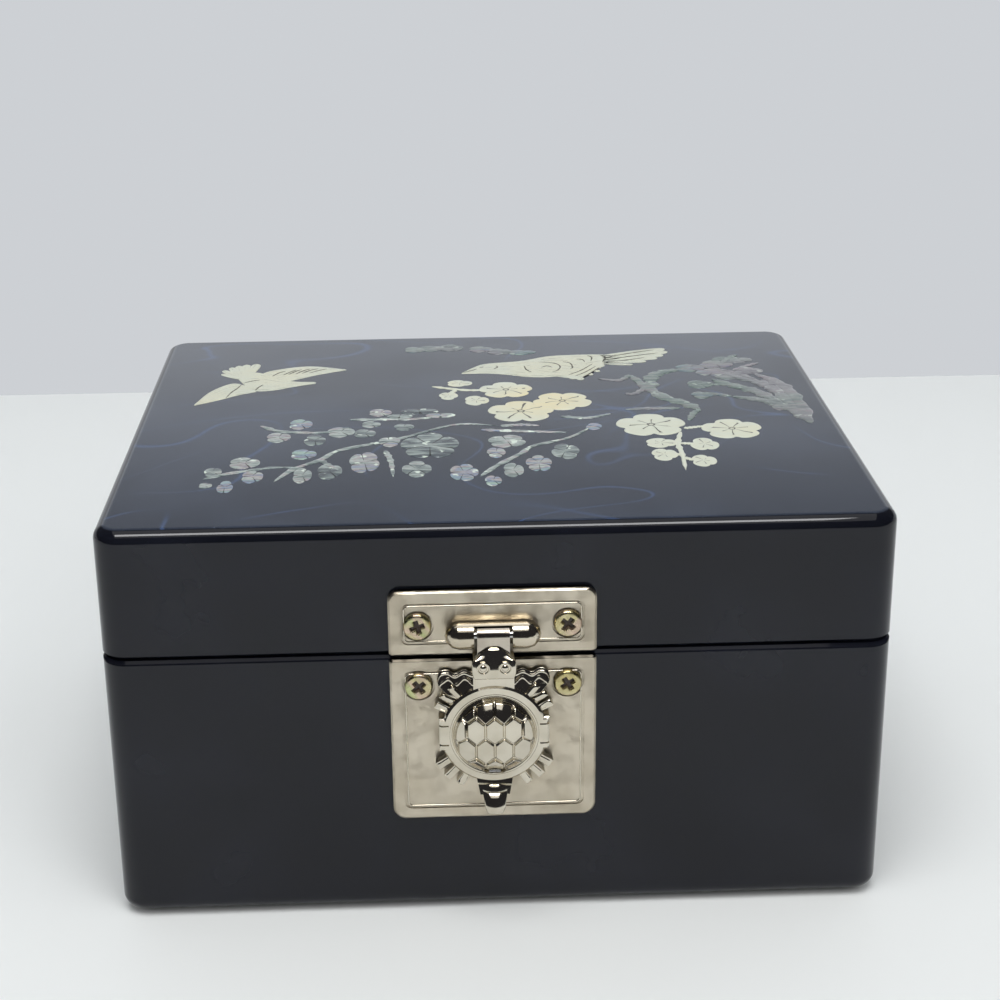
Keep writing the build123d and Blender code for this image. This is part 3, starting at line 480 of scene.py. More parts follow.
@dataclass(frozen=True)
class Abalone:
    """Green, pink and blue shell whose growth bands shift between colours, with small painted glints."""

    name: str = "abalone"
    stops: tuple[tuple[float, Colour], ...] = (
        (0.22, (0.12, 0.14, 0.16)), (0.34, (0.30, 0.36, 0.35)), (0.44, (0.52, 0.58, 0.55)),
        (0.51, (0.46, 0.40, 0.41)), (0.58, (0.28, 0.36, 0.50)), (0.66, (0.40, 0.55, 0.47)),
        (0.76, (0.68, 0.74, 0.68)))
    stripe: Colour = (0.05, 0.06, 0.06)
    painted_glint: Colour = (0.84, 0.95, 0.84)
    cut: Colour = (0.02, 0.022, 0.02)
    greys: tuple[Colour, Colour] = ((0.15, 0.205, 0.185), (0.225, 0.20, 0.235))
    dulling: float = 0.0

    def make(self) -> Material:
        """Builds the material.

        Returns:
            The shell: colour runs along swirled growth bands, shifted piece by piece, with small painted
                glints.
        """
        tree = Tree(self.name)
        place = tree.place()
        bands = tree.noise(tree.scaled(place, (1.0, 4.0, 1.0), 0.7), 95.0, 4.0, 1.4)
        colour = tree.ramp(bands * 0.75 + tree.attribute("tint") * 0.3, self.stops)
        stripes = tree.noise(tree.scaled(place, (1.0, 9.0, 1.0), 1.1), 420.0, 2.0, 0.3)
        colour = tree.blend(stripes.step(0.56, 0.62, 0.0, 0.5), colour, self.stripe)
        # painted glint: small near-white spots stand for sparkling highlights
        colour = tree.blend(tree.noise(place, 330.0, 2.0).step(0.62, 0.68), colour, self.painted_glint)
        angle, reach = tree.polar()
        beat = (angle * tree.attribute("lobes")).apply("COSINE")
        cut = beat.step(-0.998, -0.95, 1.0, 0.0) * reach.step(0.12, 0.2)
        colour = tree.blend(cut * 0.8, colour, self.cut)
        if self.dulling:
            patch = tree.noise(place, 38.0, 1.0).step(0.42, 0.58)
            colour = tree.blend(self.dulling, colour, tree.blend(patch, *self.greys))
        tree.shade(Base_Color=colour, Roughness=0.26, Metallic=0.25, Coat_Weight=0.4, Coat_Roughness=0.05)
        tree.relief(stripes, 0.00003, 0.5)
        return tree.material


@dataclass(frozen=True)
class Velvet:
    """Short-pile cloth with a soft sheen and crushed patches."""

    name: str = "velvet"
    deep: Colour = (0.13, 0.006, 0.018)
    light: Colour = (0.30, 0.018, 0.045)
    sheen: Colour = (0.9, 0.55, 0.6)

    def make(self) -> Material:
        """Builds the material.

        Returns:
            The pile: fine fibres, crushed patches and sheen.
        """
        tree = Tree(self.name)
        place = tree.place()
        fibre = tree.noise(place, 3200.0, 2.0)
        colour = tree.blend(tree.noise(place, 70.0, 4.0, 0.4).step(0.35, 0.7), self.deep, self.light)
        colour = tree.blend(fibre.step(0.35, 0.7, 0.0, 0.45), colour, times(self.deep, 0.45))
        tree.shade(Base_Color=colour, Roughness=0.92, Sheen_Weight=0.6, Sheen_Roughness=0.35,
                   Sheen_Tint=self.sheen)
        tree.relief(fibre, 0.00018, 0.8)
        return tree.material


@dataclass(frozen=True)
class Board:
    """Plain sheet goods: thin wood, card or felt, with fibres."""

    name: str
    colour: Colour
    fibre_colour: Colour
    fibre_scale: float
    stretch: float = 1.0
    roughness: float = 0.85

    def make(self) -> Material:
        """Builds the material.

        Returns:
            The sheet, whose fibres run along X by the stretch.
        """
        tree = Tree(self.name)
        drawn = tree.scaled(tree.place(), (1.0, self.stretch, self.stretch))
        fibre = tree.noise(drawn, self.fibre_scale, 5.0, 0.3)
        tree.shade(Base_Color=tree.blend(fibre.step(0.35, 0.66), self.colour, self.fibre_colour),
                   Roughness=self.roughness)
        tree.relief(fibre, 0.0001, 0.6)
        return tree.material


@dataclass(frozen=True)
class SilveredGlass:
    """A small mirror with a faint waviness and a greyer patch here and there."""

    silver: Colour = (0.82, 0.85, 0.86)
    greyer: Colour = (0.72, 0.76, 0.78)

    def make(self) -> Material:
        """Builds the material.

        Returns:
            The mirror.
        """
        tree = Tree("silvered_glass")
        place = tree.place()
        patch = tree.noise(place, 35.0, 3.0).step(0.5, 0.75, 0.0, 0.35)
        tree.shade(Base_Color=tree.blend(patch, self.silver, self.greyer), Metallic=1.0,
                   Roughness=tree.noise(place, 300.0, 3.0).step(0.4, 0.8, 0.015, 0.05))
        return tree.material


# the two bands are painted shade: the lower plate's top edge under the upper plate, and the upper plate's top
# edge highlight dimmed
NICKEL = Metal("nickel_plates", (0.64, 0.575, 0.465), (0.56, 0.495, 0.385), 0.40, stain_scale=120.0,
               polished_beyond=65.8, painted_shade_bands=((54.8, 55.3, 0.12), (68.98, 69.2, 0.15)))
CAST = Metal("nickel_casting", (0.66, 0.61, 0.51), (0.57, 0.52, 0.42), 0.1)
STRAP = Metal("strap_steel", (0.55, 0.495, 0.42), (0.44, 0.39, 0.325), 0.2)
STEEL = Metal("bright_steel", (0.60, 0.585, 0.56), (0.50, 0.49, 0.47), 0.16)
BRASS = Metal("rolled_brass", (0.72, 0.54, 0.25), (0.55, 0.38, 0.16), 0.26)
SPRING = Metal("spring_strip", (0.50, 0.50, 0.51), (0.38, 0.39, 0.42), 0.24)


def mesh_of(name: str, points: Array, faces: list) -> bpy.types.Mesh:
    """Makes a mesh.

    Args:
        name: its name.
        points: its points in metres.
        faces: its faces, by their points' places in the list.

    Returns:
        The mesh.
    """
    mesh = bpy.data.meshes.new(name)
    mesh.from_pydata(points.tolist(), [], faces)
    return mesh


def show(name: str, data: bpy.types.ID) -> Piece:
    """Puts an object into the scene.

    Args:
        name: its name.
        data: the mesh, lamp or lens that it carries.

    Returns:
        The object.
    """
    piece = bpy.data.objects.new(name, data)
    bpy.context.scene.collection.objects.link(piece)
    return piece


def close_up(mesh: bpy.types.Mesh) -> None:
    """Merges points that lie together, drops faces with no area and turns all faces outwards.

    Args:
        mesh: the mesh that is mended.
    """
    work = bmesh.new()
    work.from_mesh(mesh)
    bmesh.ops.remove_doubles(work, verts=work.verts, dist=1e-6)
    bmesh.ops.dissolve_degenerate(work, edges=work.edges, dist=1e-7)
    bmesh.ops.recalc_face_normals(work, faces=work.faces)
    work.to_mesh(mesh)
    work.free()
    mesh.polygons.foreach_set("use_smooth", np.ones(len(mesh.polygons), dtype=bool))
    mesh.update()


def dress(mesh: bpy.types.Mesh, material: Material) -> None:
    """Gives a mesh its only finish."""
    mesh.materials.clear()
    mesh.materials.append(material)


def settle(piece: Piece, body: Body, material: Material, node: str = "") -> Piece:
    """Dresses a piece and lets it ride on a body.

    Args:
        piece: the piece.
        body: the body it rides on.
        material: its finish.
        node: the solid it stands for, if any.

    Returns:
        The piece.
    """
    dress(piece.data, material)
    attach(piece, body.value)
    if node:
        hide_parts(node)
    return piece


@dataclass
class Patchwork:
    """Points, faces and pattern coordinates gathered from several surfaces into one mesh."""

    points: list[Array] = field(default_factory=list)
    faces: list[Array] = field(default_factory=list)
    patterns: list[Array] = field(default_factory=list)
    numbers: dict[str, list[Array]] = field(default_factory=dict)
    count: int = 0

    def add(self, points: Array, rows: int, columns: int, pattern: Array | None = None,
            **numbers: float | Array) -> None:
        """Adds a surface given on a grid whose columns close into a ring.

        Args:
            points: rows x columns points in millimetres, as one list.
            rows: number of rows.
            columns: number of columns.
            pattern: U and V of each point, or None for its across and up in metres.
            **numbers: a value, or one for each point, kept by name.
        """
        row, column = np.meshgrid(np.arange(rows - 1), np.arange(columns), indexing="ij")
        following = (column + 1) % columns
        quads = np.stack([row * columns + column, row * columns + following,
                          (row + 1) * columns + following, (row + 1) * columns + column], axis=-1)
        self.points.append(points)
        self.faces.append(quads.reshape(-1, 4) + self.count)
        self.patterns.append(points[:, [0, 2]] * MM if pattern is None else pattern)
        for name, value in numbers.items():
            self.numbers.setdefault(name, []).append(np.full(len(points), value))
        self.count += len(points)

    def build(self, name: str, body: Body, material: Material, slot: str, node: str = "") -> Piece:
        """Makes the mesh object, closes its poles and lets it ride on a body.

        Args:
            name: the piece's name.
            body: the body it rides on.
            material: its finish.
            slot: a material slot's name; not used.
            node: the solid it stands for, if any.

        Returns:
            The piece.
        """
        mesh = mesh_of(name, np.concatenate(self.points) * MM, np.concatenate(self.faces).tolist())
        corner = np.empty(len(mesh.loops), dtype=np.int32)
        mesh.loops.foreach_get("vertex_index", corner)
        pattern = np.concatenate(self.patterns)[corner].astype(np.float32)
        mesh.uv_layers.new(name="pattern").data.foreach_set("uv", pattern.ravel())
        for key, values in self.numbers.items():
            kept = mesh.attributes.new(key, "FLOAT", "POINT")
            kept.data.foreach_set("value", np.concatenate(values).astype(np.float32))
        piece = show(name, mesh)
        close_up(mesh)
        return settle(piece, body, material, node)


def refined(node: str, body: Body, material: Material, bevel: float = 0.0, crease: float = 30.0,
            reshape: Callable[[Array], Array] | None = None) -> Piece:
    """Stands a smoothed copy in for a solid, with softened edges.

    Args:
        node: the solid's name.
        body: the body it rides on.
        material: its finish.
        bevel: width of the softened edges in millimetres, or 0 to keep them sharp.
        crease: angle in degrees from which an edge counts as one.
        reshape: moves the copy's points, given and returned in millimetres.

    Returns:
        The copy, joined along its edges, with flat faces merged and shading weighted by area.
    """
    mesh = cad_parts[node].data.copy()
    mesh.name = f"{node}_skin"
    if reshape:
        points = np.empty(3 * len(mesh.vertices))
        mesh.vertices.foreach_get("co", points)
        mesh.vertices.foreach_set("co", (reshape(points.reshape(-1, 3) / MM) * MM).ravel())
    work = bmesh.new()
    work.from_mesh(mesh)
    bmesh.ops.remove_doubles(work, verts=work.verts, dist=2e-6)
    bmesh.ops.dissolve_degenerate(work, edges=work.edges, dist=1e-7)
    bmesh.ops.dissolve_limit(work, angle_limit=math.radians(0.6), verts=work.verts, edges=work.edges)
    for edge in work.edges:
        edge.smooth = bool(bevel) or edge.calc_face_angle(0.0) < math.radians(crease)
    for face in work.faces:
        face.smooth = True
    work.to_mesh(mesh)
    work.free()
    piece = show(f"{node}_skin", mesh)
    if bevel:
        soften = piece.modifiers.new("soften", "BEVEL")
        soften.width = bevel * MM
        soften.segments = 2
        soften.limit_method = "ANGLE"
        soften.angle_limit = math.radians(crease)
        soften.harden_normals = True
    piece.modifiers.new("shading", "WEIGHTED_NORMAL").keep_sharp = True
    return settle(piece, body, material, node)


def curve_through(points: Array | Line, steps: int) -> Array:
    """A smooth line through points, by Catmull-Rom pieces: each piece is a cubic whose end slopes are half
    the step between its neighbours.

    Args:
        points: n x 2 or n x 3 points.
        steps: number of points wanted.

    Returns:
        The line as steps points.
    """
    known = np.asarray(points, float)
    padded = np.concatenate([2 * known[:1] - known[1:2], known, 2 * known[-1:] - known[-2:-1]])
    where = np.linspace(0, len(known) - 1, steps)
    piece = np.minimum(where.astype(int), len(known) - 2)
    t = (where - piece)[:, None]
    before, start, end, after = (padded[piece + k] for k in range(4))
    return 0.5 * (2 * start + (end - before) * t + (2 * before - 5 * start + 4 * end - after) * t**2
                  + (3 * start - before - 3 * end + after) * t**3)


def ring_turns(steps: int) -> Array:
    """The angles of a closed ring's points, as one row."""
    return np.linspace(0, 2 * np.pi, steps, endpoint=False)[None, :]


def clasp_point(x: Array, z: Array, out: Array) -> Array:
    """Points of the box from across and up from the clasp's middle at the seam, and out from the front."""
    return np.stack([x + ASIDE, -FRONT - out, z + SEAM], axis=-1)


def rounding(depth: Array, radius: float) -> Array:
    """Fall of a rounded edge: a quarter circle of this radius over the depth from the edge."""
    share = 1 - np.clip(depth / radius, 0, 1)
    return radius * (1 - np.sqrt(1 - share**2))


def eased(share: Array) -> Array:
    """A smooth step from 0 to 1: three squares less two cubes of the share."""
    share = np.clip(share, 0, 1)
    return share * share * (3 - 2 * share)


@dataclass
class Camera:
    """The photograph's view, in millimetres and radians."""

    place: Triple = (-12.0107, -395.6619, 211.9573)
    yaw: float = 0.0371
    dip: float = 0.3616
    roll: float = -0.0097
    lens: float = 69.93
    sensor: float = 36.0

    def build(self) -> None:
        """Makes the camera from its place and three turns."""
        forward = np.array([math.sin(self.yaw) * math.cos(self.dip), math.cos(self.yaw) * math.cos(self.dip),
                            -math.sin(self.dip)])
        right = np.array([math.cos(self.yaw), -math.sin(self.yaw), 0.0])
        up = np.cross(right, forward)
        level = math.cos(self.roll) * right + math.sin(self.roll) * up
        upright = math.cos(self.roll) * up - math.sin(self.roll) * right
        lens = bpy.data.cameras.new("photo_view")
        lens.sensor_width = self.sensor
        lens.lens = self.lens
        lens.clip_start = 0.01
        camera = show("photo_view", lens)
        turn = Matrix(np.stack([level, upright, -forward], axis=1).tolist()).to_4x4()
        camera.matrix_world = Matrix.Translation(Vector(self.place) * MM) @ turn
        bpy.context.scene.camera = camera


@dataclass(frozen=True)
class Panel:
    """A glowing panel overhead that only shiny surfaces see."""

    name: str
    across: Point
    back: Point
    height: float
    glow: float


@dataclass(frozen=True)
class Lamp:
    """A round soft lamp, in metres and watts."""

    place: Triple
    size: float
    power: float
    aim: Triple = (0.0, 0.0, 0.05)


@dataclass
class Studio:
    """A pale cloth-covered table, a pale wall behind it, lamps overhead and a dim room.

    The wall fades between two heights and the table ends between two places back, both in metres.
    """

    table: Colour = (0.80, 0.82, 0.815)
    wall: Colour = (0.610, 0.631, 0.660)
    wall_place: float = 283.0
    wall_fade: Point = (0.12, 0.25)
    table_end: Point = (-0.52, -0.30)
    reach: float = 4000.0
    fill: Colour = (0.62, 0.62, 0.62)
    gloom: Colour = (0.030, 0.030, 0.034)
    panels: tuple[Panel, ...] = (
        Panel("ceiling_glow", (-330.0, 300.0), (-820.0, 900.0), 840.0, 1.0),
        Panel("lamp_glow", (-260.0, 230.0), (-470.0, -230.0), 800.0, 13.0))
    lamps: tuple[Lamp, ...] = (Lamp((-0.05, -0.35, 0.95), 0.6, 4.9), Lamp((0.45, -0.75, 0.80), 0.5, 1.5))

    def build(self) -> None:
        """Makes the table, the wall, the panels, the lamps and the dim room."""
        self._sheet("table_top", [(-1, -1, 0), (1, -1, 0), (1, 1, 0), (-1, 1, 0)], self._cloth())
        wall = self._sheet("wall", [(-1, 0, -1), (1, 0, -1), (1, 0, 1), (-1, 0, 1)], self._wall())
        wall.location.y = self.wall_place * MM
        for panel in self.panels:
            (left, right), (front, back), height = panel.across, panel.back, panel.height
            outline = np.array([(left, front, height), (left, back, height), (right, back, height),
                                (right, front, height)]) / self.reach
            self._sheet(panel.name, outline.tolist(), self._glow(panel))
        for number, lamp in enumerate(self.lamps):
            light = bpy.data.lights.new(f"soft_lamp_{number}", "AREA")
            light.shape = "DISK"
            light.size = lamp.size
            light.energy = lamp.power
            hung = show(light.name, light)
            hung.location = lamp.place
            hung.rotation_euler = (Vector(lamp.aim) - Vector(lamp.place)).to_track_quat("-Z", "Y").to_euler()
            hung.visible_glossy = False
        self._room()
        bpy.context.scene.view_settings.view_transform = "Standard"

    def _room(self) -> None:
        """Makes the room: even light for dull surfaces and gloom in reflections."""
        world = bpy.data.worlds.new("room")
        world.use_nodes = True
        nodes, links = world.node_tree.nodes, world.node_tree.links
        kinds = ("ShaderNodeLightPath", "ShaderNodeMixShader", "ShaderNodeBackground")
        rays, mix, dim = (nodes.new(kind) for kind in kinds)
        nodes["Background"].inputs[0].default_value = (*self.fill, 1.0)
        dim.inputs[0].default_value = (*self.gloom, 1.0)
        links.new(rays.outputs["Is Glossy Ray"], mix.inputs[0])
        links.new(nodes["Background"].outputs[0], mix.inputs[1])
        links.new(dim.outputs[0], mix.inputs[2])
        links.new(mix.outputs[0], nodes["World Output"].inputs[0])
        bpy.context.scene.world = world

    def _sheet(self, name: str, outline: list[Triple], material: Material) -> Piece:
        """Makes a large flat staging sheet.

        Args:
            name: its name.
            outline: four corners, times the studio's reach.
            material: its finish.

        Returns:
            The sheet.
        """
        mesh = mesh_of(name, np.array(outline) * self.reach * MM, [(0, 1, 2, 3)])
        dress(mesh, material)
        sheet = show(name, mesh)
        return sheet

    def _glow(self, panel: Panel) -> Material:
        """A panel's glow, which nothing but reflections meets.

        Args:
            panel: the panel.

        Returns:
            The glow.
        """
        tree = Tree(panel.name)
        tree.surface(tree.mixed(tree.ray("Glossy"), tree.clear(), tree.glow(Strength=panel.glow)))
        return tree.material

    def _cloth(self) -> Material:
        """The table's white cloth, with slow shallow folds.

        Returns:
            The cloth, which reflections see end in front of the box.
        """
        tree = Tree("table_cloth")
        place = tree.place()
        folds = tree.noise(tree.scaled(place, (1.0, 0.6, 1.0), 0.4), 7.0, 2.0, 0.5)
        tree.shade(Base_Color=self.table, Roughness=0.9, Specular_IOR_Level=0.1)
        tree.relief(folds, 0.006, 0.5)
        near = tree.split(place)[1].step(*self.table_end)
        ending = tree.mixed(near, tree.glow(Color=self.gloom), tree.shaded)
        tree.surface(tree.mixed(tree.ray("Glossy"), tree.shaded, ending))
        return tree.material

    def _wall(self) -> Material:
        """The wall's paint.

        Returns:
            The paint, which glows evenly to the camera, darkens upwards in reflections, is plain to lamps
            and isn't there from behind.
        """
        tree = Tree("wall_paint")
        tree.shade(Base_Color=self.wall, Roughness=1.0, Specular_IOR_Level=0.0)
        camera = tree.ray("Camera")
        fade = tree.split(tree.place())[2].step(*self.wall_fade, 1.0, 0.10).most(camera)
        seen = camera.most(tree.ray("Glossy")).most(tree.ray("Transmission"))
        front = tree.mixed(seen, tree.shaded, tree.glow(Color=self.wall, Strength=fade))
        behind = tree.add("ShaderNodeNewGeometry", {}, "Backfacing")
        tree.surface(tree.mixed(behind, front, tree.clear()))
        return tree.material


@dataclass
class Case:
    """The lacquered case and lid with their boards."""

    sides: tuple[str, ...] = ("left", "right", "front", "back")
    floor: Board = Board("floor_board", (0.34, 0.24, 0.14), (0.24, 0.16, 0.09), 260.0, 9.0, 0.6)
    felt: Board = Board("felt", (0.012, 0.012, 0.014), (0.03, 0.03, 0.034), 2200.0)
    card: Board = Board("grey_board", (0.34, 0.29, 0.23), (0.26, 0.22, 0.17), 900.0)

    def build(self) -> list[Piece]:
        """Dresses the case.

        Returns:
            The pieces made.
        """
        lacquer = Lacquer().make()
        velvet = Velvet().make()
        pieces = [refined("base_walls", Body.BASE, lacquer, crease=25.0),
                  refined("lid_shell", Body.LID, lacquer, crease=25.0)]
        for node, finish in (("base_floor", self.floor), ("base_felt", self.felt),
                             ("mirror_backing", self.card), ("mirror_glass", SilveredGlass())):
            dress(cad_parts[node].data, finish.make())
        boards = [(body, f"{body.value}_lining_{side}", 0.25)
                  for body in (Body.BASE, Body.LID) for side in self.sides]
        boards += [(Body.BASE, "long_divider", 0.7), (Body.BASE, "cross_divider", 0.7),
                   (Body.LID, "mirror_frame", 0.3)]
        pieces += [refined(node, body, velvet, bevel) for body, node, bevel in boards]
        return pieces


@dataclass
class CrossScrew:
    """A pan-headed screw whose driving recess is a broad cross, in millimetres and degrees."""

    turn: float
    radius: float = 2.72
    seat: float = 1.0
    top: float = 2.5
    arm: float = 0.44
    reach: float = 1.36
    recess: float = 0.95
    shank: float = 7.0
    rings: int = 48
    segments: int = 128

    def add_to(self, work: Patchwork, across: float, up: float,
               place: Callable[[Array, Array, Array], Array]) -> None:
        """Adds the screw: rings about its middle, whose height is a rounded rim less the cross.

        Args:
            work: the mesh it goes into.
            across: its middle's place across.
            up: its middle's place up.
            place: turns across, up and out into points of the box.
        """
        around = ring_turns(self.segments)
        share = np.sin(np.linspace(0, np.pi / 2, self.rings))[:, None]
        x, z = self.radius * share * np.cos(around), self.radius * share * np.sin(around)
        heading = math.radians(self.turn)
        a = np.abs(x * math.cos(heading) + z * math.sin(heading))
        b = np.abs(z * math.cos(heading) - x * math.sin(heading))
        edge = np.minimum(np.maximum(a - self.arm, b - self.reach), np.maximum(b - self.arm, a - self.reach))
        sunk = eased(0.5 - edge / (0.45 * self.arm))
        head = (1 - share**14) ** 0.42 + 0 * around
        out = self.seat + (self.top - self.seat) * head - self.recess * sunk * (1 - 0.35 * share)
        # deep marks painted shade: the cross recess and the head's rim, where it falls to the seat, turn dark
        # in the zinc finish
        deep = np.maximum(eased(1.6 * sunk - 0.25), eased((0.72 - head) / 0.2) * 0.8)
        foot = self.seat - self.shank
        rest = [(self.radius, self.seat), (0.35 * self.radius, self.seat), (0.33 * self.radius, foot),
                (0.0, foot - 0.1)]
        rounds = np.array([(reach * np.cos(around[0]), reach * np.sin(around[0]),
                            np.full(self.segments, level)) for reach, level in rest])
        x, z, out = (np.concatenate([part, rounds[:, k]]) for k, part in enumerate((x, z, out)))
        points = place(x + across, z + up, out).reshape(-1, 3)
        deep = np.concatenate([deep, np.ones((len(rest), self.segments))]).ravel()
        work.add(points, len(x), self.segments, points[:, :2] * MM, deep=deep)


@dataclass
class Fittings:
    """Hinges, clasp plates, screws, strap and the turtle's casting.

    Plates are given by their foot and top from the seam, clasp screws by their height from it and the
    two heads' turns, and hinge leaves by the level of their face and the way it looks.
    """

    cast: Material
    soft_edge: float = 0.12
    plate_width: float = 39.0
    plate_front: float = 1.6
    upper_plate: Point = (0.25, 13.35)
    lower_plate: Point = (-34.45, -0.55)
    bead_inset: float = 2.95
    bead_corner: float = 0.9
    bead_width: float = 0.16
    bead_rise: float = 0.17
    corner_steps: int = 9
    screw_across: float = 14.05
    upper_screws: Triple = (6.4, 18.0, 52.0)
    lower_screws: Triple = (-5.9, 38.0, 33.0)
    leaf_screws: tuple[float, ...] = (-52.5, -37.5, 37.5, 52.5)
    leaf_middle: float = 57.9
    base_leaf: Point = (55.55, 1.0)
    lid_leaf: Point = (56.05, -1.0)
    tail_foot: float = -25.0
    tail_share: float = 0.92
    tail_plane: float = 3.0
    tail_sink: float = 0.2

    def build(self) -> list[Piece]:
        """Dresses the fittings.

        Returns:
            The pieces made.
        """
        nickel, steel, brass = NICKEL.make(), STEEL.make(), BRASS.make()
        pieces = []
        for side in ("left", "right"):
            pieces += [refined(f"hinge_leaf_base_{side}", Body.BASE, brass),
                       refined(f"hinge_leaf_lid_{side}", Body.LID, brass),
                       refined(f"hinge_pin_{side}", Body.BASE, steel)]
        pieces += [refined("clasp_upper_plate", Body.LID, nickel, 0.1),
                   refined("clasp_lower_plate", Body.BASE, nickel, 0.1)]
        pieces += [*self._borders(), *self._clasp_screws(), *self._hinge_screws(brass)]
        pieces += [refined("hasp_pin", Body.LID, steel),
                   refined("hasp_strap", Body.HASP, STRAP.make(), 0.1),
                   refined("turtle_body", Body.HASP, self.cast, self.soft_edge,
                           reshape=self._short_tail),
                   refined("catch_rivet", Body.BASE, steel, 0.05),
                   refined("catch_spring", Body.BASE, SPRING.make(), 0.05)]
        return pieces

    def _borders(self) -> list[Piece]:
        """Makes the fine pressed beads inside the plates' border lines, worn brighter than the plates.

        Returns:
            A bead for each plate: half an oval carried round a rectangle with rounded corners.
        """
        pieces = []
        turn = np.linspace(0, 2 * np.pi, 13)[:, None]
        for body, (foot, top) in ((Body.LID, self.upper_plate), (Body.BASE, self.lower_plate)):
            half = np.array([self.plate_width, top - foot]) / 2 - self.bead_inset
            angle = np.concatenate([np.linspace(q, q + 1, self.corner_steps) for q in range(4)]) * np.pi / 2
            side = np.repeat([(1, 1), (-1, 1), (-1, -1), (1, -1)], self.corner_steps, axis=0)
            outward = np.stack([np.cos(angle), np.sin(angle)], axis=1)
            line = side * (half - self.bead_corner) + self.bead_corner * outward
            flat = line + (self.bead_width * np.cos(turn))[..., None] * outward
            out = self.plate_front + self.bead_rise * np.sin(turn) + 0 * flat[..., 0]
            points = clasp_point(flat[..., 0], flat[..., 1] + (top + foot) / 2, out).reshape(-1, 3)
            work = Patchwork()
            work.add(points, len(turn), len(line))
            pieces.append(work.build(f"plate_border_{body.value}", body, self.cast, "nickel"))
        return pieces

    def _clasp_screws(self) -> list[Piece]:
        """Makes the plates' four screws.

        Returns:
            A pair of screws for each plate.
        """
        zinc = ZincPlate().make()
        pieces = []
        for body, plate, (up, *turns) in ((Body.LID, "upper", self.upper_screws),
                                          (Body.BASE, "lower", self.lower_screws)):
            work = Patchwork()
            for across, turn in zip((-self.screw_across, self.screw_across), turns):
                CrossScrew(turn).add_to(work, across, up, clasp_point)
            pieces.append(work.build(f"clasp_screw_heads_{plate}", body, zinc, "zinc_screws",
                                     f"clasp_screws_{plate}"))
        return pieces

    def _hinge_screws(self, brass: Material) -> list[Piece]:
        """Makes the small cross-recess screws of the hinge leaves, whose heads stand just proud.

        Args:
            brass: their finish.

        Returns:
            The heads on the base's leaves and those on the lid's.
        """
        pieces = []
        for body, (level, way) in ((Body.BASE, self.base_leaf), (Body.LID, self.lid_leaf)):
            work = Patchwork()
            for number, across in enumerate(self.leaf_screws):
                screw = CrossScrew(turn=17.0 + 23.0 * number, radius=1.45, seat=-0.05, top=0.17, arm=0.22,
                                   reach=0.8, recess=0.13, shank=0.0)
                screw.add_to(work, across, 0.0, partial(self._on_leaf, level, way))
            pieces.append(work.build(f"hinge_screw_heads_{body.value}", body, brass, "hinge_brass"))
        return pieces

    def _on_leaf(self, level: float, way: float, x: Array, y: Array, out: Array) -> Array:
        """Points on a hinge leaf's face, which looks up or down."""
        return np.stack([x, way * y + self.leaf_middle, level + way * out], axis=-1)

    def _short_tail(self, points: Array) -> Array:
        """Draws the plain tail in under the sculpted one.

        Args:
            points: the casting's points.

        Returns:
            The points, with those of the tail drawn up and back.
        """
        below = np.minimum(points[:, 2] - SEAM - self.tail_foot, 0)
        out = -FRONT - points[:, 1]
        points[:, 2] -= (1 - self.tail_share) * below
        points[:, 1] += np.where(below < -0.4, self.tail_sink * np.maximum(out - self.tail_plane, 0), 0)
        return points


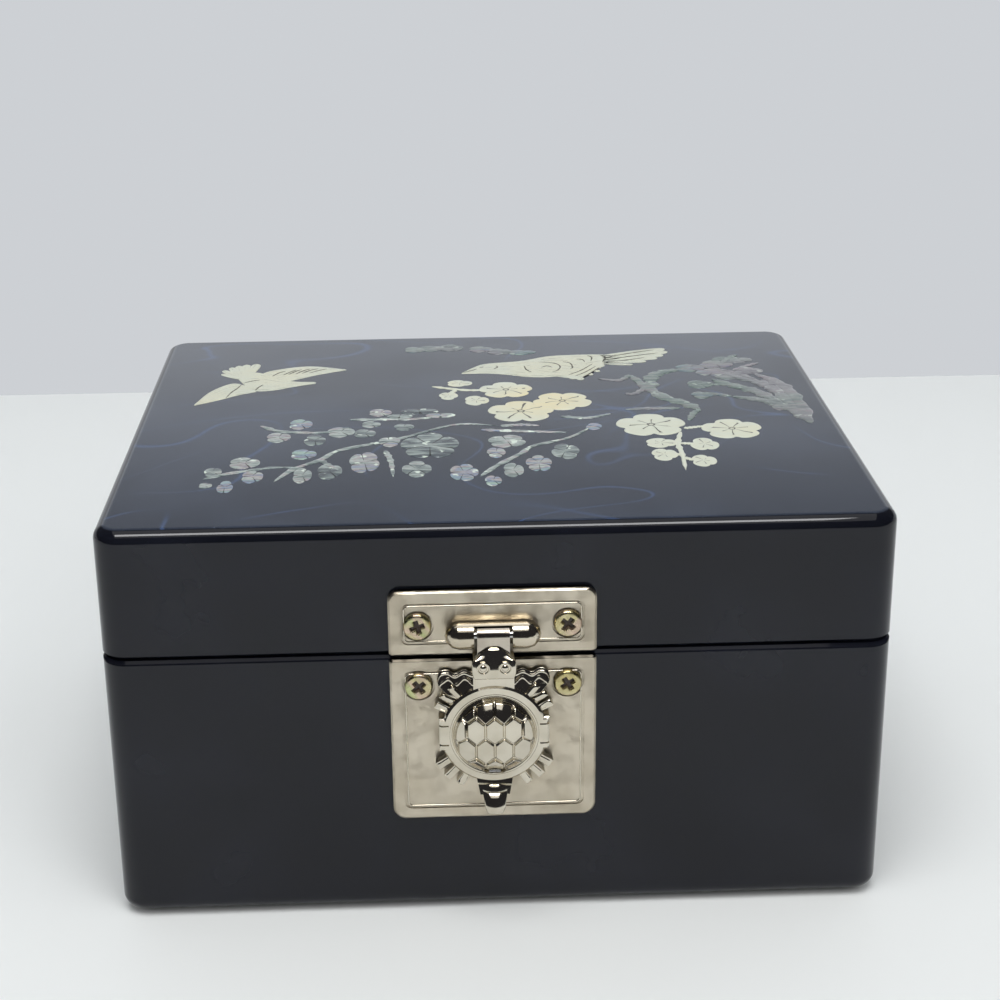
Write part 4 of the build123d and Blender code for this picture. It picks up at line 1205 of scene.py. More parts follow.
@dataclass
class TurtleRelief:
    """The turtle's head, eyes, arms, toes and tail, sculpted over the plain casting.

    Edges are given across and up from the seam, but the head's and the tail's by their place up and half
    width. Heights are out from the box's front. Slopes give places along the way up and how far the
    surface leans back there, in degrees. Toes are given by their angle and reach from the shell's middle.
    """

    cast: Material
    head_edge: Line = (
        (-2.0, 3.55), (-1.5, 3.9), (-0.6, 4.12), (0.5, 4.14), (1.3, 4.02), (1.75, 3.75), (2.0, 3.3),
        (2.5, 2.72), (3.0, 2.15), (3.4, 1.6), (3.7, 1.0), (3.85, 0.45))
    head_slopes: Line = (
        (-2.5, 0.0), (-0.5, 0.0), (-0.05, 9.0), (1.0, 13.0), (2.0, 17.0), (2.8, 23.0), (3.3, 29.0),
        (3.6, 34.0), (3.85, 44.0))
    head_front: float = 7.95
    head_back: float = 6.02
    head_soft: float = 0.42
    eye_across: float = 2.02
    eye_up: float = 0.4
    bead_radius: float = 0.7
    bead_rise: float = 0.5
    wire_radius: float = 1.1
    wire_half: float = 0.15
    wire_rise: float = 0.24
    arm_edge: Line = (
        (3.3, -3.0), (4.3, -2.75), (5.6, -2.35), (7.2, -2.98), (8.7, -2.34), (10.1, -2.7), (10.62, -3.9))
    arm_foot: Line = (
        (3.3, -8.8), (4.6, -8.6), (6.0, -8.0), (7.6, -7.4), (8.8, -6.7), (9.8, -5.7), (10.62, -4.6))
    arm_soft: float = 0.09
    ridge_rise: float = 0.17
    limb_back: float = 1.9
    toes: Line = ((50.0, 12.65), (39.5, 12.75), (29.0, 12.45), (-33.0, 12.85), (-46.0, 13.05), (-59.0, 12.85))
    toe_front: float = 3.95
    toe_root: float = 9.2
    toe_soft: float = 0.22
    toe_half: float = 0.69
    toe_flare: float = 0.09
    toe_taper: float = 0.30
    drop: float = 14.9
    tail_steps: tuple[Line, ...] = (
        ((-24.7, 3.45), (-25.3, 3.2), (-26.1, 2.95), (-26.75, 2.72)),
        ((-26.7, 2.45), (-27.4, 2.3), (-29.1, 2.0), (-30.1, 1.7), (-30.7, 1.35)))
    tail_slopes: tuple[Line, ...] = (
        ((-24.7, 62.0), (-25.5, 46.0), (-26.0, 26.0), (-26.75, 8.0)),
        ((-26.7, 54.0), (-27.4, 42.0), (-28.0, 26.0), (-29.3, 12.0), (-29.6, -2.0), (-30.7, -8.0)))
    tail_starts: Point = (4.4, 5.75)
    tail_backs: Point = (3.2, 4.6)
    tail_soft: float = 0.2

    def build(self) -> list[Piece]:
        """Makes the relief.

        Returns:
            The pieces made.
        """
        pieces = []
        for name, slot, node, maker in (("turtle_head_cap", "nickel", "", self._head),
                                        ("turtle_arm_relief", "nickel", "", self._arms),
                                        ("turtle_toe_relief", "nickel", "", self._toes),
                                        ("turtle_tail_relief", "nickel", "", self._tail),
                                        ("turtle_eyes", "steel", "eye_rivets", self._eyes)):
            work = Patchwork()
            maker(work)
            pieces.append(work.build(name, Body.HASP, self.cast, slot, node))
        return pieces

    def _strip(self, work: Patchwork, first: Array, second: Array,
               front: Callable[[Array, Array, Array], Array], back: float, soft: float) -> None:
        """Adds a block between two edges, whose front is a height with softened borders.

        Args:
            work: the mesh it goes into.
            first: one edge's points.
            second: the other edge's points, row by row.
            front: height at across, up and depth from the first edge.
            back: height of the block's back.
            soft: radius of the softened borders.
        """
        rows, columns = len(first), 36
        share = (1 - np.cos(np.linspace(0, np.pi, columns))) / 2
        flat = first[:, None, :] * (1 - share[:, None]) + second[:, None, :] * share[:, None]
        width = np.linalg.norm(second - first, axis=1)[:, None]
        middle = (first + second) / 2
        steps = np.concatenate([[0], np.cumsum(np.linalg.norm(np.diff(middle, axis=0), axis=1))])
        end = np.minimum(steps, steps[-1] - steps)[:, None]
        border = np.minimum(width * np.minimum(share, 1 - share), end)
        x, z = flat[..., 0], flat[..., 1]
        out = np.maximum(front(x, z, width * share) - rounding(border, soft), back + 0.01)
        ring = clasp_point(np.concatenate([x, x[:, ::-1]], axis=1), np.concatenate([z, z[:, ::-1]], axis=1),
                           np.concatenate([out, np.full_like(out, back)], axis=1))
        caps = [np.broadcast_to(ring[k].mean(axis=0), ring[k].shape)[None] for k in (0, -1)]
        work.add(np.concatenate([caps[0], ring, caps[1]]).reshape(-1, 3), rows + 2, 2 * columns)

    def _slope_height(self, slopes: Line, at: Array, start: float) -> Array:
        """Height along a surface: the start, less the sum of the slopes' tangents over the way up.

        Args:
            slopes: places along the way, and how far the surface leans back there, in degrees.
            at: the places where the height is wanted.
            start: height at the first place.

        Returns:
            The heights.
        """
        places, angles = np.array(slopes).T
        fine = np.linspace(places[0], places[-1], 400)
        lean = np.tan(np.radians(np.interp((fine - places[0]) / (places[-1] - places[0]),
                                           (places - places[0]) / (places[-1] - places[0]), angles)))
        fall = np.concatenate([[0], np.cumsum((lean[1:] + lean[:-1]) / 2 * np.diff(fine))])
        along = (at - places[0]) / (places[-1] - places[0])
        return start - np.interp(along, np.linspace(0, 1, 400), fall)

    def _head(self, work: Patchwork) -> None:
        """Adds the head to a mesh: level across the eyes, leaning back to the snout, and crowned."""
        right = curve_through(self.head_edge, 60)[:, ::-1]
        self._strip(work, right * (-1, 1), right, self._head_height, self.head_back, self.head_soft)

    def _head_height(self, x: Array, z: Array, depth: Array) -> Array:
        """The head's height, whose lean starts higher towards the cheeks."""
        crown = 0.13 * eased((z - 1.6) / 1.6) * x**2
        return self._slope_height(self.head_slopes, z - 0.05 * x**2, self.head_front) - np.minimum(crown, 0.5)

    def _arms(self, work: Patchwork) -> None:
        """Adds both arms to a mesh: sloping fronts with a fine ridge that follows the wavy top.

        Args:
            work: the mesh they go into.
        """
        for side in (-1, 1):
            top, foot = (curve_through(edge, 90) * (side, 1) for edge in (self.arm_edge, self.arm_foot))
            self._strip(work, top, foot, self._arm_height, self.limb_back, self.arm_soft)

    def _arm_height(self, x: Array, z: Array, depth: Array) -> Array:
        """The arm's height: a slope, a ridge near the top edge and a second wave below it.

        Args:
            x: across.
            z: up from the seam.
            depth: distance from the top edge.

        Returns:
            The height at each point.
        """
        slope = np.interp(-z, [2.0, 6.7, 7.2], [2.3, 4.12, 4.2])
        ridge = self.ridge_rise * np.exp(-((depth - 0.62) / 0.14) ** 2)
        wave = self.ridge_rise * np.exp(-((depth - 1.75 - 0.3 * np.sin(2.1 * np.abs(x))) / 0.26) ** 2)
        return slope + ridge + wave

    def _toes(self, work: Patchwork) -> None:
        """Adds the toes to a mesh: crowned fingers that stand out from the rim like spokes.

        Args:
            work: the mesh they go into.
        """
        along = np.linspace(0, 1, 26)[:, None]
        half = self.toe_half + self.toe_flare * along - self.toe_taper * eased((along - 0.8) / 0.2)
        centre = np.array([0.0, -self.drop])
        for angle, reach in self.toes:
            for turn in (angle, 180 - angle):
                heading = np.array([math.cos(math.radians(turn)), math.sin(math.radians(turn))])
                aside = np.array([-heading[1], heading[0]])
                middle = heading * (self.toe_root + (reach + 0.04 - self.toe_root) * along)
                self._strip(work, centre + middle + half * aside, centre + middle - half * aside,
                            self._toe_height, self.limb_back, self.toe_soft)

    def _toe_height(self, x: Array, z: Array, depth: Array) -> Array:
        """The toe's crowned back, higher above the shell's shoulder."""
        level = self.toe_front + 0.5 * eased(np.abs((z + 10.0) / 3.0)) * (z > -10.0)
        return level - 0.28 * ((depth - 0.75) / 0.75) ** 2

    def _tail(self, work: Patchwork) -> None:
        """Adds the tail to a mesh: two steps, each rounded over from its top and crowned.

        Args:
            work: the mesh it goes into.
        """
        for edge, slopes, start, back in zip(self.tail_steps, self.tail_slopes, self.tail_starts,
                                             self.tail_backs):
            line = curve_through(edge, 44)[:, ::-1]
            height = partial(self._tail_height, slopes, start)
            self._strip(work, line * (-1, 1), line, height, back, self.tail_soft)

    def _tail_height(self, slopes: Line, start: float, x: Array, z: Array, depth: Array) -> Array:
        """A tail step's height, lower towards its sides."""
        return self._slope_height(slopes, z, start) - 0.13 * x**2

    def _eyes(self, work: Patchwork) -> None:
        """Adds the eyes to a mesh: each a bead inside a round wire, on a foot that reaches into the head.

        Args:
            work: the mesh they go into.
        """
        turn = ring_turns(64)
        reach = np.concatenate([np.linspace(0, 0.7, 22), np.linspace(0.72, 1.26, 24)])[:, None]
        bead = self.bead_rise * np.sqrt(np.clip(1 - (reach / self.bead_radius) ** 2, 0, 1))
        wire = self.wire_rise * np.sqrt(np.clip(1 - ((reach - self.wire_radius) / self.wire_half) ** 2, 0, 1))
        rise = self.head_front + 0.02 + np.maximum(bead, wire) + 0 * turn
        x, z = (np.concatenate([part, part[-1:], 0 * part[-1:]])
                for part in (reach * np.cos(turn), reach * np.sin(turn)))
        out = np.concatenate([rise, np.full((2, turn.size), self.head_front - 0.9)])
        for across in (-self.eye_across, self.eye_across):
            work.add(clasp_point(x + across, z + self.eye_up, out).reshape(-1, 3), len(out), turn.size)


@dataclass
class TurtleShell:
    """The domed shell, whose plates stand proud of the grooves between them.

    Rows are given by their height in row pitches and their number of plates, and the window by its width,
    its height and its middle's height from the seam.
    """

    cast: Material
    drop: float = 14.9
    radius: float = 8.4
    front: float = 5.0
    apex: float = 8.0
    back: float = 3.85
    half_width: float = 1.75
    row_pitch: float = 4.2
    slant: float = 1.4
    ring_inner: float = 7.8
    ring_edge: float = 0.12
    ring_line: float = 0.16
    groove: float = 0.2
    groove_slope: float = 0.2
    groove_depth: float = 0.34
    pillow: float = 0.06
    dome_rise: float = 2.54
    dome_power: float = 4.0
    flatness: float = 0.85
    puff: float = 0.26
    rows: tuple[tuple[float, int], ...] = ((1.5, 4), (0.5, 5), (-0.5, 4), (-1.5, 3))
    window: Triple = (3.8, 1.5, -22.1)
    window_depth: float = 1.2
    window_corner: float = 0.4
    rings: int = 84
    segments: int = 300

    def build(self) -> list[Piece]:
        """Makes the shell: rings about the middle, whose height is the dome's less the grooves.

        Returns:
            The one piece.
        """
        turn = ring_turns(self.segments)
        reach = self.radius * np.linspace(0, 1, self.rings)[:, None] ** 0.85
        x, z = reach * np.cos(turn), reach * np.sin(turn)
        on_ring = eased((reach - self.ring_inner + self.ring_edge) / self.ring_edge)
        line = self.ring_line * np.exp(-((reach - self.ring_inner - 0.1) / 0.08) ** 2)
        out = self._plates(x, z) * (1 - on_ring) + (self.front - line) * on_ring - self._window(x, z)
        x, z = (np.concatenate([part, part[-1:], 0 * part[:1]]) for part in (x, z))
        out = np.concatenate([out, np.full((2, self.segments), self.back)])
        work = Patchwork()
        work.add(clasp_point(x, z - self.drop, out).reshape(-1, 3), self.rings + 2, self.segments)
        return [work.build("turtle_shell_plates", Body.HASP, self.cast, "nickel", "turtle_shell")]

    def _dome(self, x: Array, z: Array) -> Array:
        """The dome's height, which falls with the fourth power of the distance from its middle."""
        return self.apex - self.dome_rise * (np.hypot(x, z) / self.ring_inner) ** self.dome_power

    def _plates(self, x: Array, z: Array) -> Array:
        """Height of the plates and the grooves between them: each plate is a tall hexagon with upright sides,
        which mostly lies in the plane that touches the dome at its middle. The top row is puffed up.

        Args:
            x: across, from the shell's middle.
            z: up, from the shell's middle.

        Returns:
            The height at each point.
        """
        slope = np.array([self.slant, self.half_width]) / math.hypot(self.slant, self.half_width)
        crown = slope[1] * (self.row_pitch + self.slant) / 2
        steepness = self.dome_power * self.dome_rise / self.ring_inner
        dome = self._dome(x, z)
        inside, face = np.full(x.shape, -1.0), dome.copy()
        for row, count in self.rows:
            for column in range(count):
                middle = np.array([(column - (count - 1) / 2) * 2 * self.half_width, row * self.row_pitch])
                across, up = np.abs(x - middle[0]), np.abs(z - middle[1])
                edge = np.minimum(self.half_width - across, crown - slope[0] * across - slope[1] * up)
                far = np.hypot(*middle)
                lean = steepness * (far / self.ring_inner) ** (self.dome_power - 1)
                ahead = ((x - middle[0]) * middle[0] + (z - middle[1]) * middle[1]) / max(far, 1e-9)
                touching = self._dome(*middle) - lean * ahead
                if row > 1:
                    touching += self.puff * (1 - (across**2 + up**2) / self.half_width**2)
                nearer = edge > inside
                inside, face = np.where(nearer, edge, inside), np.where(nearer, touching, face)
        face = dome + self.flatness * (face - dome)
        inside = np.minimum(inside, self.ring_inner - 0.25 - np.hypot(x, z))
        pillow = self.pillow * (1 - np.clip(inside / self.half_width, 0, 1)) ** 2
        sunk = 1 - eased((inside - self.groove * 0.5) / self.groove_slope)
        return face * (1 - sunk) + (dome - self.groove_depth) * sunk - pillow * (1 - sunk)

    def _window(self, x: Array, z: Array) -> Array:
        """Depth of the catch's window, a rounded slot let in near the foot.

        Args:
            x: across, from the shell's middle.
            z: up, from the shell's middle.

        Returns:
            The depth at each point.
        """
        width, height, middle = self.window
        corner = self.window_corner
        outside = np.hypot(np.maximum(np.abs(x) - width / 2 + corner, 0),
                           np.maximum(np.abs(z - middle - self.drop) - height / 2 + corner, 0)) - corner
        return self.window_depth * eased((0.12 - outside) / 0.24)


@dataclass(frozen=True)
class Feathers:
    """A patch of feathers between two edges that run from root to tip: how many lie across, and the
    patch's height as a share of the inlay's.
    """

    first: Line
    second: Line
    count: float
    lift: float = 1.0


@dataclass(frozen=True)
class Fan:
    """Feathers side by side, each a leaf from its root to its tip.

    Width is a share of the length. The belly is where each side bulges and by how much of the width, and
    the shoulder is where it narrows; both places are shares of the length. The steps are what the root
    and the lift gain from one feather to the next.
    """

    root: Point
    root_step: Point
    tips: Line
    width: float
    belly: Point
    shoulder: float
    lift: float
    lift_step: float


@dataclass
class Inlay:
    """The shell inlay on the lid: birds, plum blossom, branches and a pine.

    Discs are given by their middle across and back, width, depth and turn in degrees. Twigs' widths are
    half widths at the foot, the middle and the tip. Cuts are engraved lines on the birds.
    """

    lid_top: float = 81.5
    sunk: float = 0.1
    proud: float = 0.13
    dip: float = 0.24
    ivory_widths: Triple = (0.55, 0.6, 0.35)
    abalone_widths: Triple = (0.7, 0.6, 0.3)
    trunk_widths: Triple = (1.5, 1.7, 1.0)
    pine_widths: Triple = (0.7, 0.8, 0.4)
    cut_widths: Triple = (0.10, 0.17, 0.08)
    cut_level: float = 0.01
    cut_rise: float = 0.03
    ivory_blossoms: tuple[Disc, ...] = (
        (4.9, 18.3, 12.0, 11.5, 20), (7.5, 2.7, 14.4, 14.4, 90), (16.9, 9.3, 13.0, 12.6, 50),
        (34.4, -8.3, 14.8, 14.6, 90), (51, -12, 12.8, 12.8, 20))
    ivory_buds: tuple[Disc, ...] = (
        (-5.4, 23.9, 5.9, 4.8, 0), (-8, 14.7, 4.3, 5.4, 20), (-1.9, 11.0, 5.6, 6.8, 0),
        (35.1, -20.0, 6.6, 6.0, 0), (35.0, -27.2, 5.4, 7.4, 10), (43.9, -21.4, 6.0, 7.8, -25),
        (42.4, -31.4, 5.2, 7.0, 0))
    ivory_stems: tuple[Line, ...] = (
        ((-11.7, 21.9), (-4.5, 18.9), (1, 18.5)),
        ((40.1, -13), (38.6, -20.4), (38.6, -27.1), (38.1, -36.8)), ((39.5, -19), (37.5, -19.8), (36, -20)),
        ((39.0, -20.5), (41, -20.8), (43, -21.5)), ((41, -11), (45.5, -9.8)),
        ((38.7, -27), (37, -27.4), (35.5, -27.2)), ((38.6, -29), (40, -30.5), (42, -31.5)),
        ((-8, 15.5), (-6, 19.5)))
    abalone_blossoms: tuple[Disc, ...] = (
        (-12.3, -18.5, 12.2, 16.0, 90), (-25.5, -28, 6.3, 12.5, 60), (-15, -32.6, 5.9, 9.5, 90),
        (-5.7, -35.2, 5.8, 9.8, 0), (3.6, -16.8, 8.0, 8.0, 60), (15.2, -23.9, 5.8, 9.5, 20),
        (9.4, -30.8, 5.3, 9.5, 90))
    abalone_buds: tuple[Disc, ...] = (
        (-39.6, -3.1, 5.1, 7.0, 0), (-43.8, -11.4, 5.2, 6.6, 10), (-36.1, -13.6, 4.6, 7.4, -20),
        (-30.9, -8.8, 6.0, 6.6, 10), (-25.9, -10, 4.8, 5.6, 0), (-38, -22.4, 5.4, 6.2, 0),
        (-49.6, -26.9, 6.4, 7.0, 0), (-55.4, -31.9, 3.6, 5.4, 20), (-47.4, -35, 4.4, 7.4, 0),
        (-37.6, -34.9, 3.9, 9.0, 0), (-32.3, -33, 5.1, 9.6, 10), (-22.9, 3.8, 5.1, 5.0, 0),
        (-24.7, -4.1, 4.2, 4.4, 0), (-52.2, -40.6, 3.2, 7.0, -30), (-56.1, -39.5, 2.7, 3.0, 0),
        (-17.7, -6.3, 4.4, 4.6, 20), (1.1, -23.8, 3.9, 6.4, 20), (4.1, -34.4, 4.2, 8.4, 0),
        (-0.1, -40.3, 3.4, 6.0, 10), (-20.6, -15.6, 4.6, 6.4, 40))
    abalone_leaves: tuple[Disc, ...] = (
        (-14.4, 4.1, 8.2, 4.2, 5), (-9.9, 1.1, 6.4, 3.4, 0), (-18.6, 1.0, 5.5, 3.2, -5),
        (22.3, -8.6, 3.6, 4.4, 60))
    abalone_stems: tuple[Line, ...] = (
        ((-43, -38.3), (-39.4, -31), (-34.4, -25.9), (-31, -20.5), (-23.1, -16.1), (-17.7, -13.1),
         (-6.7, -5.3), (2.6, -6.8)),
        ((-48.2, -3.4), (-44.1, -7.1), (-39.6, -8.3), (-34.1, -8.6), (-28.8, -5.5)),
        ((-57, -35.9), (-52.6, -33.1), (-47.7, -31.2), (-43.6, -29.9), (-38.9, -30.2)),
        ((-34.4, -25.9), (-32.2, -29.9), (-30.5, -32.3)), ((-21.4, -21.1), (-20.2, -27.6), (-19.6, -36.8)),
        ((-29.5, -0.6), (-22.2, -0.7), (-15, -0.9), (-7.1, 1.8)), ((2.6, -6.8), (7.5, -6.4), (11, -7.2)),
        ((-2.6, -37.8), (1.3, -31.1), (5.9, -24.9), (8.9, -20.1), (16.4, -15.5), (22.3, -8.1)),
        ((-1.7, -9.1), (6.7, -10.5), (16.7, -12.1)), ((15.7, -1.3), (21.4, -2.6), (26.8, -0.2)))
    pine_trunk: tuple[Line, ...] = (
        ((46.0, 1.2), (43.2, 6.2), (39.6, 10.2), (36.3, 18.4), (33.7, 27.8)),
        ((68.4, -9.4), (65.7, 0.8), (60.9, 6.8), (54.4, 10.2)),
        ((68.4, -9.4), (68.0, 8.3), (66.4, 19.2), (62.0, 26.8)),
        ((66.8, -3.0), (65.0, 12.3), (62.0, 19.5), (54.5, 27.4)),
        ((64.1, 4.7), (60.7, 12.7), (56.1, 18), (51.5, 23.4)),
        ((37.3, 16.3), (38.3, 25.4), (41.2, 29.3), (45.2, 31.2)))
    pine_twigs: tuple[Line, ...] = (
        ((63.0, 19.5), (58.2, 27.1), (52.7, 31.7), (47, 35.3)), ((59, 16.8), (53.3, 19.2), (47.3, 19.6)),
        ((42.8, -5.9), (44.6, -0.5), (46.3, 1.2)), ((42.1, 2.5), (35.8, 2.9), (29.9, 2.4)),
        ((33.7, 27.8), (30.8, 23.8), (26.1, 25.2)), ((36.3, 18.4), (33.4, 13.6), (31.1, 13.8)),
        ((54.4, 10.2), (49.9, 12.5), (45.8, 12.8)), ((55.6, 34.7), (58.3, 40), (60.5, 42)),
        ((57.3, 29.2), (61.6, 33.2), (64.4, 35.2)))
    pine_needles: tuple[Disc, ...] = (
        (57.3, 37.9, 7, 6, 20), (54.4, 34.8, 8, 6, -20), (59.8, 37.7, 7, 5, 10), (52.8, 28.5, 8, 6, -50),
        (56.2, 26.2, 8, 7, 0), (48.5, 19.5, 6, 6, 0), (48, 11.6, 5, 5, 15), (60.9, 29, 7, 6, -10),
        (47.8, 32, 7, 6, 0), (63.3, 3.8, 4, 8, 20), (64.1, 18.4, 5, 8, 30), (-15.5, 51.5, 5, 5, 0),
        (-11.5, 52.3, 6, 5, 15), (-6.8, 52.5, 6, 6, -10), (0.2, 50.8, 6, 5, 0), (4.5, 48.6, 6, 5, 0),
        (9.8, 47.6, 7, 4, 10))
    cuts: tuple[Line, ...] = (
        ((-57.2, 16.2), (-56.3, 20.2), (-55.2, 23.3), (-54.4, 26.4)),
        ((-51.1, 21.6), (-50.5, 23.7), (-49.6, 25.6)), ((-54.1, 27.2), (-52.3, 28.6), (-50.5, 29.3)),
        ((-48, 32), (-46.7, 34.4), (-45.1, 35.9)), ((-45.6, 32.7), (-44.1, 35), (-42.8, 36.6)),
        ((-44.4, 33), (-42.9, 35.4), (-41.5, 36.9)), ((-42.8, 33.3), (-41.2, 35.7), (-39.6, 37.2)),
        ((-41.4, 33.6), (-39.6, 36), (-37.7, 37.3)), ((-39.7, 33.9), (-37.6, 35.8), (-35.7, 36.9)),
        ((-4.4, 31.8), (-2.2, 33.4), (-1.1, 34.5)), ((2.8, 34.2), (3.7, 35.6), (3.4, 36.6)),
        ((9.9, 36.2), (10.3, 33.1), (11.4, 31.2)),
        ((13.3, 39), (15.4, 38.6), (17.5, 37.3), (18.2, 34.8), (17.3, 32), (16, 30.9)),
        ((13.8, 34.7), (15.2, 35.8), (16.4, 34.5)), ((19, 38.9), (20.7, 37.5), (21, 34.2), (20.4, 33)),
        ((22.4, 40.9), (23.8, 40.2), (24.2, 38.3)), ((28.1, 44.1), (29.3, 41.7), (28.2, 38)),
        ((25.2, 43.7), (26.1, 41.9), (25.6, 38.8)), ((19.7, 28.4), (22.7, 31.6), (26, 36.9)),
        ((21, 27.2), (23.7, 30.4), (26.6, 35)), ((22.6, 26.1), (24.6, 29.1), (27.2, 33.8)),
        ((29.3, 41.7), (35.8, 45), (41.5, 47.2)), ((29.1, 39.8), (35.9, 42.5), (42, 44.6)),
        ((29, 37.9), (34.5, 39.4), (38.5, 41)), ((-0.5, 35.6), (0.5, 35.9)))
    flying: tuple[Feathers, ...] = (
        Feathers(((-55.8, 30.5), (-52.5, 35.6), (-48.0, 32.5), (-43.0, 28.0), (-37.6, 27.0)),
                 ((-53.8, 25.5), (-51.0, 21.4), (-47.0, 21.6), (-42.5, 24.0), (-37.6, 26.2)), 5.0),
        Feathers(((-52.3, 24.0), (-56.5, 27.3), (-61.0, 21.5), (-63.8, 11.6)),
                 ((-50.6, 20.8), (-54.5, 18.6), (-58.5, 15.2), (-63.8, 11.6)), 6.0, 1.06),
        Feathers(((-51.5, 32.8), (-48.2, 36.8), (-40.0, 39.6), (-31.0, 36.2)),
                 ((-50.0, 27.5), (-44.8, 27.9), (-37.5, 32.8), (-31.0, 36.2)), 6.0, 0.94))
    perched: tuple[Feathers, ...] = (
        Feathers(((-4.9, 31.2), (-2.0, 35.8), (1.2, 38.8), (9.4, 40.6), (16.0, 44.0), (23.0, 44.8),
                  (29.4, 44.6)),
                 ((-4.9, 31.2), (0.9, 31.2), (5.4, 30.0), (11.2, 27.6), (17.0, 27.8), (23.5, 30.0),
                  (28.8, 35.4)), 5.0),
        Feathers(((11.0, 36.5), (15.5, 41.5), (22.0, 40.0), (28.0, 34.5)),
                 ((11.0, 36.5), (13.0, 30.0), (17.5, 27.5), (21.8, 25.0)), 7.0, 1.08))
    spread_tail: Fan = Fan(
        (-54.0, 29.5), (0.0, 0.0),
        ((-59.8, 34.8), (-59.6, 37.6), (-58.0, 39.8), (-56.4, 41.0), (-54.6, 41.8), (-52.2, 42.2)),
        0.095, (0.5, 0.8), 0.9, 0.83, 0.015)
    wing_tips: Fan = Fan(
        (18.5, 33.0), (1.0, 0.6), ((20.7, 25.3), (22.5, 24.5), (25.2, 28.2), (27.1, 30.8), (27.6, 33.8)),
        0.1, (0.55, 1.0), 0.9, 0.93, 0.01)
    long_tail: Fan = Fan(
        (28.2, 43.6), (0.0, -1.35),
        ((44.1, 48.0), (44.5, 45.6), (43.2, 43.0), (41.5, 40.6), (38.6, 38.2), (35.2, 35.8)),
        0.075, (0.55, 1.0), 0.92, 0.82, 0.02)

    def build(self) -> list[Piece]:
        """Makes all of the inlay.

        Returns:
            The pieces made.
        """
        ivory, abalone = IvoryShell(), Abalone().make()
        smoky = Abalone(name="smoky_shell", dulling=0.65).make()
        petals, green, twigs, pine, birds, lines = (Patchwork() for _ in range(6))
        self._discs(petals, self.ivory_blossoms, (5,))
        self._discs(petals, self.ivory_buds, (3,))
        self._twigs(petals, self.ivory_stems, self.ivory_widths)
        self._discs(green, self.abalone_blossoms, (5, 4, 4))
        self._discs(green, self.abalone_buds, (3,), 3)
        self._discs(green, self.abalone_leaves, (2,))
        self._twigs(twigs, self.abalone_stems, self.abalone_widths)
        self._twigs(pine, self.pine_trunk, self.trunk_widths)
        self._twigs(pine, self.pine_twigs, self.pine_widths)
        self._discs(pine, self.pine_needles, (3,))
        self._birds(birds)
        self._twigs(lines, self.cuts, self.cut_widths, self.proud + self.cut_level, self.cut_rise)
        return [work.build(name, Body.LID, finish, slot, node) for work, name, finish, slot, node in (
            (petals, "ivory_blossoms", ivory.make_blossom(), "white_shell", "pearl_blossoms"),
            (green, "abalone_petals", abalone, "green_shell", "abalone_blossoms"),
            (twigs, "abalone_twigs", abalone, "green_shell", "abalone_branches"),
            (pine, "smoky_pine", smoky, "dark_shell", "pine_inlay"),
            (birds, "ivory_birds", ivory.make_plumage(), "white_shell", "pearl_birds"),
            (lines, "bird_engraving", ivory.make_line(), "white_shell", ""))]

    def _discs(self, work: Patchwork, discs: tuple[Disc, ...], lobes: tuple[int, ...],
               first: int = 0) -> None:
        """Adds lobed discs.

        Args:
            work: the mesh they go into.
            discs: their places.
            lobes: numbers of petals, taken in turn.
            first: the first disc's number, which sets its tint.
        """
        for number, disc in enumerate(discs):
            self._lobed(work, disc, lobes[number % len(lobes)], number + first)

    def _lobed(self, work: Patchwork, disc: Disc, lobes: int, number: int) -> None:
        """Adds a lobed disc: the edge's reach dips between the lobes, and the section runs from the raised
        middle over a rounded edge to the underside.

        Args:
            work: the mesh it goes into.
            disc: middle across, middle back, width, depth and turn in degrees.
            lobes: number of petals.
            number: its place in the row, which sets its tint.
        """
        x, y, width, depth, turn = disc
        radius, share = width / 2, depth / width
        columns = 72
        angle = ring_turns(columns)
        beat = np.abs(np.cos(lobes * angle / 2))
        edge = radius * (1 - self.dip * (1 - beat) ** 2)
        section = np.array([0.0, 0.2, 0.45, 0.7, 0.88, 0.96, 1.0, 1.0, 0.0])[:, None]
        height = np.array([1.0, 1.0, 0.98, 0.94, 0.85, 0.7, 0.35, -1.0, -1.0])[:, None]
        dimple = 1 - 0.35 * section * (1 - beat)
        crest = self.proud * (0.9 + 0.035 * (number % 4))
        up = np.where(height > 0, crest * height * dimple, self.sunk * height)
        heading = angle + math.radians(turn)
        local = np.stack([section * np.cos(angle), section * np.sin(angle)], axis=-1)
        swept = edge * section
        reach_x, reach_y = swept * np.cos(heading), swept * share * np.sin(heading)
        points = np.stack([x + reach_x, y + reach_y, self.lid_top + up], axis=-1).reshape(-1, 3)
        work.add(points, len(section), columns, local.reshape(-1, 2), lobes=float(lobes),
                 tint=(number * 0.618) % 1.0 - 0.3)

